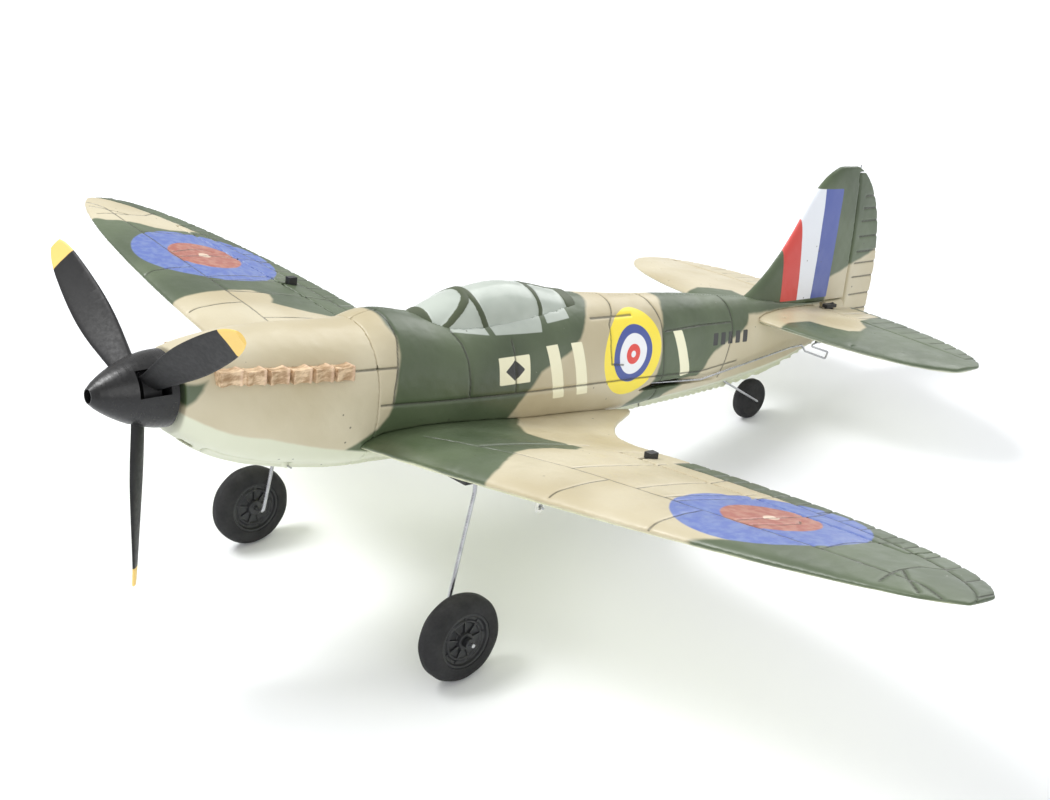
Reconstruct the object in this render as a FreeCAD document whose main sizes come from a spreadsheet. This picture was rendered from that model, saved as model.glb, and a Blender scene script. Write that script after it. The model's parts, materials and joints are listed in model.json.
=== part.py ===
import FreeCAD, Part
import math
import os
import re
import Sketcher

# A small foam radio-control warbird standing on its own wheels.
#
# Everything is first drawn in the airframe datum: X to port, Y aft from the
# spinner tip, Z up from the thrust line. The stance placement then tips the
# nose up until both main wheels and the tail wheel touch Z = 0, and centres
# the whole length on the origin.

V = FreeCAD.Vector
doc = FreeCAD.newDocument("warbird")

DIMENSIONS = dict(
    # stance
    nose_up_angle=12.18, thrust_line_height=92.66,
    # wing
    half_span=200, root_chord=76, root_le=102.3, sweep_share=0.36, root_z=-22.4,
    dihedral_rise=26.35, incidence=3.5, wing_thickness=0.115, fillet_x=52,
    fillet_reach=36, trailing_edge=0.8,
    # ailerons
    aileron_in=58, aileron_out=168, aileron_hinge_in=134.5, aileron_hinge_out=119.5,
    # stabiliser and elevator
    stab_half_span=78.5, stab_chord=54.4, stab_mid=275.6, stab_z=0.7, stab_thick=4.4,
    elevator_hinge=284.3, elevator_in=6, elevator_out=70,
    # fin and rudder
    rudder_hinge=303.2, rudder_lean=0.0487, rudder_bottom=-11,
    # moving surface hinges
    nose_radius=0.8, hinge_gap=0.35, pin_radius=0.25, pin_clearance=0.05, pin_grip=3,
    # fuselage shells
    shell_wall=3.6, cowl_front=21.6, cowl_rear=78, shell_rear=302.4, cavity_rear=238,
    cavity_top=4,
    # propeller group
    prop_plane=14, blade_tip=55.4, spinner_radius=10.3, spinner_length=20,
    shaft_radius=1, shaft_front=6, shaft_rear=36, screw_radius=2,
    gear_module=0.3, spur_teeth=54, pinion_teeth=9, gear_face=2, gear_front=26.5,
    motor_radius=4.25, motor_length=20, motor_front=30.5,
    bush_radius=2, bush_length=2.5, frame_thick=2,
    # wheels and gear
    wheel_radius=13, wheel_width=7, hub_radius=8.2, axle_radius=0.6, axle_clearance=0.08,
    wheel_x=54, wheel_y=83.8, wheel_z=-63.4, strut_x=46.6, strut_y=90.4, strut_top=-15.5,
    tail_wheel_radius=7.4, tail_wheel_width=4.6, tail_axle_radius=0.4,
    tail_y=258.4, tail_z=-31.45, collar_radius=1.6, collar_width=1.4,
    # controls
    rod_radius=0.35, rod_hole=0.85, arm_length=5, tail_arm_length=10, tail_arm_x=8.2, arm_thick=0.8,
    servo_long=14, servo_wide=7, servo_tall=5, horn_thick=0.8,
    elevator_arm=10.5, rudder_arm=8.4,
    # power and radio
    battery_long=42, battery_wide=17, battery_tall=8, board_long=30, board_wide=18,
    board_thick=1.2,
    # hatch
    hatch_front=30, hatch_rear=57, hatch_half=7.5, hatch_gap=0.35, magnet_radius=1.5,
    magnet_thick=1)

sheet = doc.addObject("Spreadsheet::Sheet", "Dims")
for row, (alias, size) in enumerate(DIMENSIONS.items(), start=1):
    sheet.set("A%d" % row, alias)
    sheet.set("B%d" % row, str(size))
    sheet.setAlias("B%d" % row, alias)
doc.recompute()

finished = []        # the sub-parts, in the order they are made


def dim(alias):
    """The value of one spreadsheet cell."""
    return float(sheet.get(alias))


def link(formula):
    """Turn cell names in a formula into references to the spreadsheet."""
    return re.sub(r"[a-z_]{3,}", lambda m: ("Dims." if m[0] in DIMENSIONS else "") + m[0], str(formula))


def size(formula):
    """The number that a formula of cell names comes to."""
    found = sheet.evalExpression(link(formula))
    return float(getattr(found, "Value", found))


def bind(obj, **formulas):
    for prop, formula in formulas.items():
        obj.setExpression(prop, link(formula))


def axes(origin, x_axis=(1, 0, 0), z_axis=(0, 0, 1)):
    """Placement of a local frame from its origin, X axis and Z axis."""
    return FreeCAD.Placement(V(*origin), FreeCAD.Rotation(V(*x_axis), V(), V(*z_axis), "ZXY"))


def box(name, lengths, centre, frame=None):
    """A block given by three formulas and its centre in the given frame."""
    obj = doc.addObject("Part::Box", name)
    bind(obj, Length=lengths[0], Width=lengths[1], Height=lengths[2])
    corner = V(*centre) - V(*[size(f) / 2 for f in lengths])
    obj.Placement = (frame or axes((0, 0, 0))).multiply(FreeCAD.Placement(corner, FreeCAD.Rotation()))
    return obj


def cylinder(name, radius, height, base, axis=(0, 0, 1)):
    obj = doc.addObject("Part::Cylinder", name)
    bind(obj, Radius=radius, Height=height)
    obj.Placement = FreeCAD.Placement(V(*base), FreeCAD.Rotation(V(0, 0, 1), V(*axis)))
    return obj


def cut(name, base, *tools):
    """Take each tool off the base in turn; the last cut is the piece."""
    for tool in tools:
        obj = doc.addObject("Part::Cut", name if tool is tools[-1] else name + "_less_" + tool.Name)
        obj.Base = base
        obj.Tool = tool
        base = obj
    return base


def fuse(name, *shapes):
    obj = doc.addObject("Part::MultiFuse", name)
    obj.Shapes = list(shapes)
    return obj


def common(name, *shapes):
    obj = doc.addObject("Part::MultiCommon", name)
    obj.Shapes = list(shapes)
    return obj


def group(name, *shapes):
    """Solids that share one node, or a piece whose original still cuts its neighbours."""
    obj = doc.addObject("Part::Compound", name)
    obj.Links = list(shapes)
    return obj


def feature(name, shape):
    obj = doc.addObject("Part::Feature", name)
    obj.Shape = shape
    return obj


def subpart(name, obj):
    """Name a sub-part and list it for placing, checking and export."""
    obj.Label = name
    finished.append(obj)
    return obj


def outline_sketch(body, plane, outline):
    """A closed polygon on an origin plane, every corner held by two formulas."""
    sketch = body.newObject("Sketcher::SketchObject", body.Name + "_outline")
    datum = [f for f in body.Origin.OriginFeatures if f.Role == plane][0]
    sketch.AttachmentSupport = [(datum, "")]
    sketch.MapMode = "FlatFace"
    corners = [V(size(a), size(b), 0) for a, b in outline]
    for i, corner in enumerate(corners):
        sketch.addGeometry(Part.LineSegment(corner, corners[(i + 1) % len(corners)]), False)
    for i in range(len(corners)):
        sketch.addConstraint(Sketcher.Constraint("Coincident", i, 2, (i + 1) % len(corners), 1))
    for i, formulas in enumerate(outline):
        for kind, formula, value in zip(("DistanceX", "DistanceY"), formulas, corners[i]):
            index = sketch.addConstraint(Sketcher.Constraint(kind, -1, 1, i, 1, value))
            sketch.setExpression("Constraints[%d]" % index, link(formula))
    return sketch


def turned(name, outline, origin, axis):
    """A turned piece: an (along, radius) outline spun about its own axis."""
    body = doc.addObject("PartDesign::Body", name)
    sketch = outline_sketch(body, "XZ_Plane", outline)
    spin = body.newObject("PartDesign::Revolution", name + "_spin")
    spin.Profile = sketch
    spin.ReferenceAxis = (sketch, ["H_Axis"])
    spin.Angle = 360
    body.Placement = FreeCAD.Placement(V(*origin), FreeCAD.Rotation(V(1, 0, 0), V(*axis)))
    return body


def plate(name, outline, thickness, frame):
    """A flat piece: an (x, y) outline padded both ways from its own XY plane."""
    body = doc.addObject("PartDesign::Body", name)
    sketch = outline_sketch(body, "XY_Plane", outline)
    pad = body.newObject("PartDesign::Pad", name + "_pad")
    pad.Profile = sketch
    bind(pad, Length=thickness)
    pad.Midplane = True
    body.Placement = frame
    return body


def bent_wire(name, radius, points, bend):
    """A round wire along straight runs joined by tangent arcs."""
    route = [V(*p) for p in points]
    edges = []
    start = route[0]
    for before, corner, after in zip(route, route[1:], route[2:]):
        into = (corner - before).normalize()
        out = (after - corner).normalize()
        half_turn = into.getAngle(out) / 2
        reach = bend * math.tan(half_turn)
        first = corner - into * reach
        last = corner + out * reach
        inward = (out - into).normalize()
        middle = corner + inward * (bend / math.cos(half_turn) - bend)
        edges.append(Part.LineSegment(start, first).toShape())
        edges.append(Part.Arc(first, middle, last).toShape())
        start = last
    edges.append(Part.LineSegment(start, route[-1]).toShape())
    path = Part.Wire(edges)
    section = Part.Wire([Part.Circle(route[0], route[1] - route[0], radius).toShape()])
    return feature(name, path.makePipeShell([section], True, True))


def loft(name, wires):
    """A solid skin through closed section wires."""
    obj = doc.addObject("Part::Loft", name)
    obj.Sections = [feature("%s_section_%d" % (name, i), w) for i, w in enumerate(wires)]
    obj.Solid = True
    return obj


def smooth_wire(points):
    curve = Part.BSplineCurve()
    curve.interpolate(Points=[V(*p) for p in points], PeriodicFlag=True)
    return Part.Wire([curve.toShape()])


def between(table, where):
    """Smooth (monotone cubic) interpolation in a table of rows (station, value, ...)."""
    stations = [row[0] for row in table]
    where = min(max(where, stations[0]), stations[-1])
    last = len(table) - 1
    k = max(i for i in range(last) if stations[i] <= where)
    found = []
    for column in range(1, len(table[0])):
        values = [row[column] for row in table]
        slopes = [(values[i + 1] - values[i]) / (stations[i + 1] - stations[i]) for i in range(last)]

        def tangent(i):
            if i in (0, last):
                return slopes[0 if i == 0 else -1]
            if slopes[i - 1] * slopes[i] <= 0:
                return 0
            return 2 * slopes[i - 1] * slopes[i] / (slopes[i - 1] + slopes[i])

        step = stations[k + 1] - stations[k]
        t = (where - stations[k]) / step
        found.append(values[k] * (2 * t**3 - 3 * t**2 + 1) + values[k + 1] * (3 * t**2 - 2 * t**3)
                     + step * (tangent(k) * (t**3 - 2 * t**2 + t) + tangent(k + 1) * (t**3 - t**2)))
    return found


# ---------------------------------------------------------------- fuselage

# station, half width, top, bottom
FUSELAGE = [(20, 10.3, 10.3, -10.8), (30, 13, 12.6, -18), (45, 15, 14.2, -23.5),
            (60, 16.2, 14.2, -26.5), (80, 17, 13.8, -28.5), (101, 17.2, 13.6, -29),
            (125, 17, 14.2, -29), (150, 15.8, 15.9, -28), (180, 13.8, 13.5, -26.5),
            (210, 11.2, 11.5, -25), (240, 8.6, 8.6, -23.2), (265, 6.4, 6.4, -19.4),
            (280, 5, 5, -15), (306, 2.6, 3.6, -11.5)]
OVAL_POWER = 2.2


def oval_side(station, sign, inset, roof):
    """One side of the cross-section at a station, from the top centre to the bottom centre."""
    half_width, top, bottom = between(FUSELAGE, station)
    top = top - inset if roof is None else min(top - inset, roof)
    bottom += inset
    points = []
    for k in range(11):
        angle = math.pi * (0.5 - k / 10)
        across, height = math.cos(angle), math.sin(angle)
        points.append(V(sign * (half_width - inset) * max(across, 0) ** (2 / OVAL_POWER), station,
                        (top + bottom) / 2
                        + (top - bottom) / 2 * math.copysign(abs(height) ** (2 / OVAL_POWER), height)))
    curve = Part.BSplineCurve()
    curve.interpolate(Points=points, InitialTangent=V(sign, 0, 0), FinalTangent=V(-sign, 0, 0))
    return curve.toShape()


def oval(station, inset=0, roof=None, side=0):
    """Whole cross-section, or one half of it closed along the centre line."""
    if side:
        arc = oval_side(station, side, inset, roof)
        ends = [arc.Vertexes[0].Point, arc.Vertexes[-1].Point]
        return Part.Wire([arc, Part.LineSegment(ends[1], ends[0]).toShape()])
    return Part.Wire([oval_side(station, 1, inset, roof), oval_side(station, -1, inset, roof).reversed()])


def fuselage_skin(name, first, last, inset=0, roof=None, side=0):
    inner = [row[0] for row in FUSELAGE if first + 3 < row[0] < last - 3]
    return loft(name, [oval(s, inset, roof, side) for s in [first] + inner + [last]])


# canopy station, half width, top
CANOPY = [(99, 5.5, 13.4), (106, 8.2, 16.2), (114, 9.4, 19), (124, 9.9, 20.3), (135, 9.9, 20.4),
          (146, 9.6, 18.6), (158, 8.6, 16.2)]
CANOPY_SILL = 7.5


def canopy_arch(station, inset=0):
    half_width, top = between(CANOPY, station)
    half_width -= inset
    top -= inset
    left, right = V(-half_width, station, CANOPY_SILL), V(half_width, station, CANOPY_SILL)
    rise = top - CANOPY_SILL
    arch = Part.BSplineCurve()
    arch.interpolate([V(half_width * math.cos(a), station, CANOPY_SILL + rise * math.sin(a) ** 0.8)
                      for a in [math.pi * k / 10 for k in range(11)]])
    return Part.Wire([arch.toShape(), Part.LineSegment(left, right).toShape()])


def build_fuselage():
    """Two hollow foam half shells, the nose cowl and the canopy."""
    cavity = fuselage_skin("fuselage_cavity", dim("cowl_rear") - 1, dim("cavity_rear"),
                           dim("shell_wall"), dim("cavity_top"))
    canopy_block = loft("canopy_block", [canopy_arch(row[0]) for row in CANOPY])
    canopy_inside = loft("canopy_inside", [canopy_arch(s, 0.8) for s in (101, 106, 114, 124, 135, 146, 156)])
    sides = {}
    for side, sign in (("left", 1), ("right", -1)):
        shell = fuselage_skin("shell_" + side, dim("cowl_rear"), dim("shell_rear"), side=sign)
        rod_slot = box("rod_slot_" + side, ("6", "46", "2.6"), (0, 0, 0), rod_frame(sign))
        joiner_slot = box("joiner_slot_" + side, ("30", "4.4", "4.4"), (0, 289, dim("stab_z")))
        sides[side] = (shell, [cavity, canopy_block, rod_slot, joiner_slot])
    subpart("canopy", cut("canopy", canopy_block, canopy_inside))
    return sides


def rod_frame(sign):
    """Frame of the slit in the side wall that a tail pushrod leaves through."""
    start, end = V(8.5 * sign, 186, -15.6), V(9.8 * sign, 226, -17.2)
    along = (end - start).normalize()
    middle = (start + end) * 0.5
    return FreeCAD.Placement(middle, FreeCAD.Rotation(V(0, 1, 0), along))


def build_cowl():
    skin = fuselage_skin("cowl_skin", dim("cowl_front"), dim("cowl_rear"))
    cavity = fuselage_skin("cowl_cavity", 25.2, dim("cowl_rear") + 1, dim("shell_wall"))
    shaft_hole = cylinder("cowl_shaft_hole", 3.2, 12, (0, 18, 0), (0, 1, 0))
    intake = box("chin_intake", ("9", "9", "2.6"), (0, 24.4, -14.6))
    doorway = box("hatch_doorway", ("hatch_half * 2", "hatch_rear - hatch_front", "16"),
                  (0, (dim("hatch_front") + dim("hatch_rear")) / 2, -24))
    pin_hole = cylinder("hatch_pin_hole", "pin_radius", 30, hatch_pin_start(15), (1, 0, 0))
    losses = [cavity, shaft_hole, intake, doorway, pin_hole]
    door_long = "hatch_rear - hatch_front - hatch_gap * 2 - 0.6"
    door = box("hatch_blank", ("hatch_half * 2 - hatch_gap * 2", door_long, "16"),
               (0, (dim("hatch_front") + dim("hatch_rear")) / 2 - 0.3, -24))
    knuckle = cylinder("hatch_knuckle", 0.9, "hatch_half * 2 - hatch_gap * 2",
                       hatch_pin_start(dim("hatch_half") - dim("hatch_gap")), (1, 0, 0))
    return skin, losses, door, knuckle


def hatch_pin_start(reach):
    """Starboard end of something that lies on the hatch's hinge pin line, just above the belly skin."""
    rear = dim("hatch_rear")
    return (-reach, rear - 0.9 - dim("hatch_gap"), between(FUSELAGE, rear)[2] + 1.4)


# ---------------------------------------------------------------- wing


def wing_station(x):
    """Leading edge, chord, trailing edge and chord-line height at a span station."""
    share = abs(x) / dim("half_span")
    chord = dim("root_chord") * math.sqrt(max(0, 1 - share**2))
    lead = dim("root_le") - dim("sweep_share") * chord
    fillet = max(0, (dim("fillet_x") - abs(x)) / 40) ** 2.3 * dim("fillet_reach")
    return lead, chord, lead + chord + min(fillet, 34), dim("root_z") + dim("dihedral_rise") * share


def wing_surface(x, share, upper):
    """A point on the wing skin: share of chord from the leading edge, upper or lower side."""
    lead, chord, trail, height = wing_station(x)
    thick = dim("wing_thickness") * chord * (1 - 0.25 * abs(x) / dim("half_span"))
    half = thick / 0.2 * (0.2969 * math.sqrt(share) - 0.126 * share - 0.3516 * share**2
                          + 0.2843 * share**3 - 0.1015 * share**4)
    blunt = dim("trailing_edge") / 2 * share
    drop = (min(share * (trail - lead), chord * 0.8) - chord / 4) * math.tan(math.radians(dim("incidence")))
    shift = 1.25 * half + blunt if upper else -0.75 * half - blunt
    return V(x, lead + share * (trail - lead), height - drop + shift)


CHORD_SHARES = [0.95, 0.85, 0.72, 0.58, 0.44, 0.3, 0.18, 0.09, 0.03]


def wing_rib(x):
    over = [wing_surface(x, s, True) for s in [1] + CHORD_SHARES]
    under = [wing_surface(x, s, False) for s in CHORD_SHARES[::-1] + [1]]
    skin = Part.BSplineCurve()
    skin.interpolate(over + [wing_surface(x, 0, True)] + under)
    return Part.Wire([skin.toShape(), Part.LineSegment(under[-1], over[0]).toShape()])


def hinge_line(sign):
    """Both ends of an aileron's hinge axis, inside the wing's thickness."""
    ends = []
    for end in ("in", "out"):
        x, y = dim("aileron_" + end), dim("aileron_hinge_" + end)
        lead, _, trail = wing_station(x)[:3]
        share = (y - lead) / (trail - lead)
        middle = (wing_surface(x, share, True) + wing_surface(x, share, False)) * 0.5
        ends.append(V(sign * x, y, middle.z))
    return ends


def hinge_frame(start, end, up):
    """Frame at a hinge's start, X along the hinge and Z as near up as it can be."""
    along = (end - start).normalize()
    return FreeCAD.Placement(start, FreeCAD.Rotation(along, V(), up, "XZY"))


def split_surface(name, whole, frame, length, reach, aft):
    """Cut a moving surface off a whole one along a hinge: returns the block that the fixed
    part loses, the moving surface with its round bored nose, and the hinge pin."""
    gap, nose = dim("hinge_gap"), dim("nose_radius")
    front = nose + gap
    loss = box(name + "_loss", (length + 2 * gap, reach + front, 60),
               (length / 2, aft * (reach - front) / 2, 0), frame)
    block = box(name + "_block", (length, reach, 60), (length / 2, aft * reach / 2, 0), frame)
    nose_rod = doc.addObject("Part::Cylinder", name + "_nose")
    bind(nose_rod, Radius="nose_radius", Height=length)
    along = FreeCAD.Placement(V(0, 0, 0), FreeCAD.Rotation(V(0, 0, 1), V(1, 0, 0)))
    nose_rod.Placement = frame.multiply(along)
    bore = doc.addObject("Part::Cylinder", name + "_bore")
    bind(bore, Radius="pin_radius + pin_clearance", Height=length + 20)
    bore.Placement = frame.multiply(FreeCAD.Placement(V(-10, 0, 0), along.Rotation))
    pin = doc.addObject("Part::Cylinder", name + "_pin")
    bind(pin, Radius="pin_radius", Height="%s + pin_grip * 2" % length)
    pin.Placement = frame.multiply(FreeCAD.Placement(V(-dim("pin_grip"), 0, 0), along.Rotation))
    kept = fuse(name + "_kept", common(name + "_part", whole, block), nose_rod)
    return loss, kept, bore, pin


def servo_block(name, frame):
    """A miniature servo: case with a gear tower, lying in its own frame."""
    case = box(name + "_case", ("servo_wide", "servo_long", "servo_tall"), (0, 0, 0), frame)
    tower = doc.addObject("Part::Cylinder", name + "_tower")
    bind(tower, Radius=1.2, Height="servo_wide / 2 + 0.3")
    tower.Placement = frame.multiply(axes((0, -3.5, 0), (0, 0, -1), (1, 0, 0)))
    return fuse(name, case, tower)


def control_arm(name, length, frame, hole="rod_hole"):
    """A drilled lever: round eye end, hub end with a bore for its shaft or none."""
    body = plate(name + "_blade",
                 [("-1.3", "1.5"), ("1.3", "1.5"), ("1.5", "-%s" % length), ("0.8", "-%s - 1.5" % length),
                  ("-0.8", "-%s - 1.5" % length), ("-1.5", "-%s" % length)], "arm_thick", frame)
    eye = doc.addObject("Part::Cylinder", name + "_eye")
    bind(eye, Radius=hole, Height=6)
    eye.Placement = frame.multiply(FreeCAD.Placement(V(0, -size(length), -3), FreeCAD.Rotation()))
    return cut(name, body, eye)


def build_wing(sides, cowl_losses):
    pins = []
    horn_x = {"left": 64, "right": 112}
    for side, sign in (("left", 1), ("right", -1)):
        ribs = [wing_rib(sign * x) for x in (10, 16, 22, 29, 38, 52, 75, 100, 125, 148, 168, 182, 192, 198.4)]
        whole = loft("wing_skin_" + side, ribs)
        start, end = hinge_line(sign)
        frame = hinge_frame(start, end, V(0, 0, 1))
        length = (end - start).Length
        loss, kept, bore, pin = split_surface("aileron_" + side, whole, frame, length, 60, sign)
        pin_socket = cylinder("pin_socket_" + side, "pin_radius", length + 2 * dim("pin_grip"), (0, 0, 0))
        pin_socket.Placement = pin.Placement
        pins.append(pin)
        x = horn_x[side] * sign
        along = (x - start.x) / (end.x - start.x)
        hinge = start + (end - start) * along
        under = wing_surface(x, 0.5, False).z
        servo_spot = V(x, 98, under + 2)
        servo_frame = axes(servo_spot)
        bay = box("servo_bay_" + side, ("servo_wide + 2.4", "servo_long + 0.6", "servo_tall + 4"),
                  (0.9, 0, -2), servo_frame)
        spar_line = spar_ends(sign)
        spar_groove = cylinder("spar_groove_" + side, 0.75, (spar_line[1] - spar_line[0]).Length,
                               spar_line[0], spar_line[1] - spar_line[0])
        block_pocket = box("block_pocket_" + side, (9, 14, 6), gear_block_centre(sign))
        horn_slot = box("horn_slot_" + side, (1.4, 6, 6), (x + 2.3, hinge.y + 2.6, hinge.z))
        wing = cut("wing_" + side, whole, loss, pin_socket, bay, spar_groove, block_pocket)
        subpart("wing_" + side, wing)
        subpart("aileron_" + side, cut("aileron_piece_" + side, kept, bore, horn_slot))
        for losses in (sides[side][1], cowl_losses):
            losses.append(whole)
        build_aileron_drive(side, x, hinge, servo_frame, servo_spot)
    return pins


def spar_ends(sign):
    root = wing_surface(16, 0.33, True) + wing_surface(16, 0.33, False)
    tip = wing_surface(100, 0.41, True) + wing_surface(100, 0.41, False)
    root, tip = root * 0.5, tip * 0.5
    return V(sign * root.x, root.y, root.z), V(sign * tip.x, tip.y, tip.z)


def build_spars():
    rods = []
    for side, sign in (("left", 1), ("right", -1)):
        root, tip = spar_ends(sign)
        rods.append(cylinder("spar_rod_" + side, 0.75, (tip - root).Length, root, tip - root))
    subpart("wing_spars", group("wing_spars", *rods))


def build_aileron_drive(side, x, hinge, servo_frame, servo_spot):
    """Servo, its arm, the aileron's horn and the straight rod between them."""
    subpart("aileron_servo_" + side, servo_block("aileron_servo_" + side, servo_frame))
    plane_x = x + 4.6
    pivot = V(plane_x, servo_spot.y - 3.5, servo_spot.z)
    arm_frame = axes(pivot, (0, 1, 0), (1, 0, 0))
    subpart("aileron_arm_" + side, control_arm("aileron_arm_" + side, "arm_length", arm_frame))
    horn_frame = axes((x + 2.3, hinge.y, hinge.z), (0, 1, 0), (1, 0, 0))
    blade = plate("aileron_horn_blade_" + side,
                  [("1.1", "1"), ("4.6", "1"), ("4.6", "-0.6"), ("1.5", "-arm_length - 1.2"),
                   ("-1.4", "-arm_length - 1.2"), ("-1.4", "-arm_length + 0.9"), ("1.1", "-1")],
                  "horn_thick", horn_frame)
    eye = cylinder("aileron_horn_eye_" + side, "rod_hole", 6, (x - 0.7, hinge.y, hinge.z - dim("arm_length")),
                   (1, 0, 0))
    stub = box("aileron_horn_stub_" + side, (2.6, 3.2, 3.4), (x + 2.3, hinge.y + 4.2, hinge.z + 1.9))
    subpart("aileron_horn_" + side, cut("aileron_horn_" + side, fuse("horn_solid_" + side, blade, stub), eye))
    drop = dim("arm_length")
    front = V(plane_x, pivot.y, pivot.z - drop)
    rear = V(x + 2.3, hinge.y, hinge.z - drop)
    lane = x + 3.45
    route = [(front.x + 1.6, front.y, front.z), (lane, front.y, front.z), (lane, rear.y, rear.z),
             (rear.x - 1.6, rear.y, rear.z)]
    subpart("aileron_rod_" + side, bent_wire("aileron_rod_" + side, dim("rod_radius"), route, 0.45))


# ---------------------------------------------------------------- tail


def stab_rib(x):
    share = min(abs(x) / dim("stab_half_span"), 0.995)
    chord = dim("stab_chord") * (1 - share**2.44) ** 0.46
    lead = dim("stab_mid") - chord / 2
    thick = dim("stab_thick") * (1 - 0.5 * share**2) * min(1, chord / 20)
    over, under = [], []
    for s in [1] + CHORD_SHARES:
        half = thick * 5 * (0.2969 * math.sqrt(s) - 0.126 * s - 0.3516 * s * s + 0.2843 * s**3
                                - 0.1015 * s**4) + 0.35 * s
        over.append(V(x, lead + s * chord, dim("stab_z") + half))
        under.append(V(x, lead + s * chord, dim("stab_z") - half))
    skin = Part.BSplineCurve()
    skin.interpolate(over + [V(x, lead, dim("stab_z"))] + under[::-1])
    return Part.Wire([skin.toShape(), Part.LineSegment(under[0], over[0]).toShape()])


def build_tailplane(sides):
    half_span = dim("stab_half_span")
    shares = [0, 0.2, 0.4, 0.6, 0.75, 0.87, 0.95, 0.985]
    stations = [-half_span * s for s in shares[:0:-1]] + [half_span * s for s in shares]
    whole = loft("tailplane_skin", [stab_rib(x) for x in stations])
    fixed_losses, pins = [], []
    length = dim("elevator_out") - dim("elevator_in")
    for side, sign in (("left", 1), ("right", -1)):
        start = V(sign * dim("elevator_in"), dim("elevator_hinge"), dim("stab_z"))
        end = V(sign * dim("elevator_out"), dim("elevator_hinge"), dim("stab_z"))
        frame = hinge_frame(start, end, V(0, 0, 1))
        loss, kept, bore, pin = split_surface("elevator_" + side, whole, frame, length, 40, sign)
        socket = cylinder("elevator_socket_" + side, "pin_radius", length + 2 * dim("pin_grip"), (0, 0, 0))
        socket.Placement = pin.Placement
        pins.append(pin)
        fixed_losses += [loss, socket]
        joiner_bore = cylinder("joiner_bore_" + side, 0.5, 12, (sign * 4, 289, dim("stab_z")), (sign, 0, 0))
        horn_slot = box("elevator_horn_slot_" + side, (1.2, 5, 8), (sign * 6.9, 287.2, dim("stab_z")))
        losses = [bore, joiner_bore] + ([horn_slot] if side == "left" else [])
        subpart("elevator_" + side, cut("elevator_piece_" + side, kept, *losses))
    middle_loss = box("tailplane_middle", ("elevator_in * 2 + 1", "60", "20"),
                      (0, dim("elevator_hinge") - 1.15 + 30, 0))
    tailplane = cut("tailplane_piece", whole, *(fixed_losses + [middle_loss]))
    subpart("stabiliser", group("stabiliser", tailplane))
    subpart("elevator_joiner", cylinder("elevator_joiner", 0.5, 24, (-12, 289, dim("stab_z")), (1, 0, 0)))
    for side in sides:
        sides[side][1].append(tailplane)
    return pins


# height, leading edge, trailing edge, thickness
FIN = [(-11, 285, 313, 4.2), (-4, 270, 317.6, 4.8), (4, 240, 318.8, 5.4), (10, 249.5, 319.2, 5.2),
       (18, 258.5, 319, 5), (27, 265.8, 317.6, 4.7), (37, 272, 314.4, 4.3), (46, 278.2, 308.8, 3.6),
       (51, 284.5, 303.2, 2.6), (53, 289, 298.6, 1.6)]


def fin_rib(height, lead, trail, thick):
    chord = trail - lead
    left, right = [], []
    for s in [1] + CHORD_SHARES:
        half = thick * 5 * (0.2969 * math.sqrt(s) - 0.126 * s - 0.3516 * s * s + 0.2843 * s**3
                                - 0.1015 * s**4) + 0.45 * s
        left.append(V(half, lead + s * chord, height))
        right.append(V(-half, lead + s * chord, height))
    skin = Part.BSplineCurve()
    skin.interpolate(left + [V(0, lead, height)] + right[::-1])
    return Part.Wire([skin.toShape(), Part.LineSegment(right[0], left[0]).toShape()])


def build_fin(sides):
    whole = loft("fin_skin", [fin_rib(*row) for row in FIN])
    top = 50.5
    start = V(0, dim("rudder_hinge") - dim("rudder_lean") * dim("rudder_bottom"), dim("rudder_bottom"))
    end = V(0, dim("rudder_hinge") - dim("rudder_lean") * top, top)
    along = (end - start).normalize()
    frame = FreeCAD.Placement(start, FreeCAD.Rotation(along, V(), V(1, 0, 0), "XZY"))
    length = (end - start).Length
    loss, kept, bore, pin = split_surface("rudder", whole, frame, length, 30, -1)
    for side in sides:
        sides[side][1].append(loss)
    keep_above = box("fin_base_cut", ("60", "200", "60"), (0, 280, 3.6 - 30))
    socket = cylinder("rudder_socket", "pin_radius", length + 2 * dim("pin_grip"), (0, 0, 0))
    socket.Placement = pin.Placement
    fin = cut("fin_piece", whole, loss, keep_above, socket)
    subpart("fin", group("fin", fin))
    for side in sides:
        sides[side][1].append(fin)
    slot = box("rudder_horn_slot", (10, 4.4, 1.2), (0, dim("rudder_hinge") + 2.9, -6))
    subpart("rudder", cut("rudder", kept, bore, slot))
    return pin


def finish_shells(sides):
    for side, (shell, losses) in sides.items():
        subpart("fuselage_" + side, cut("fuselage_" + side, shell, *losses))


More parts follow.
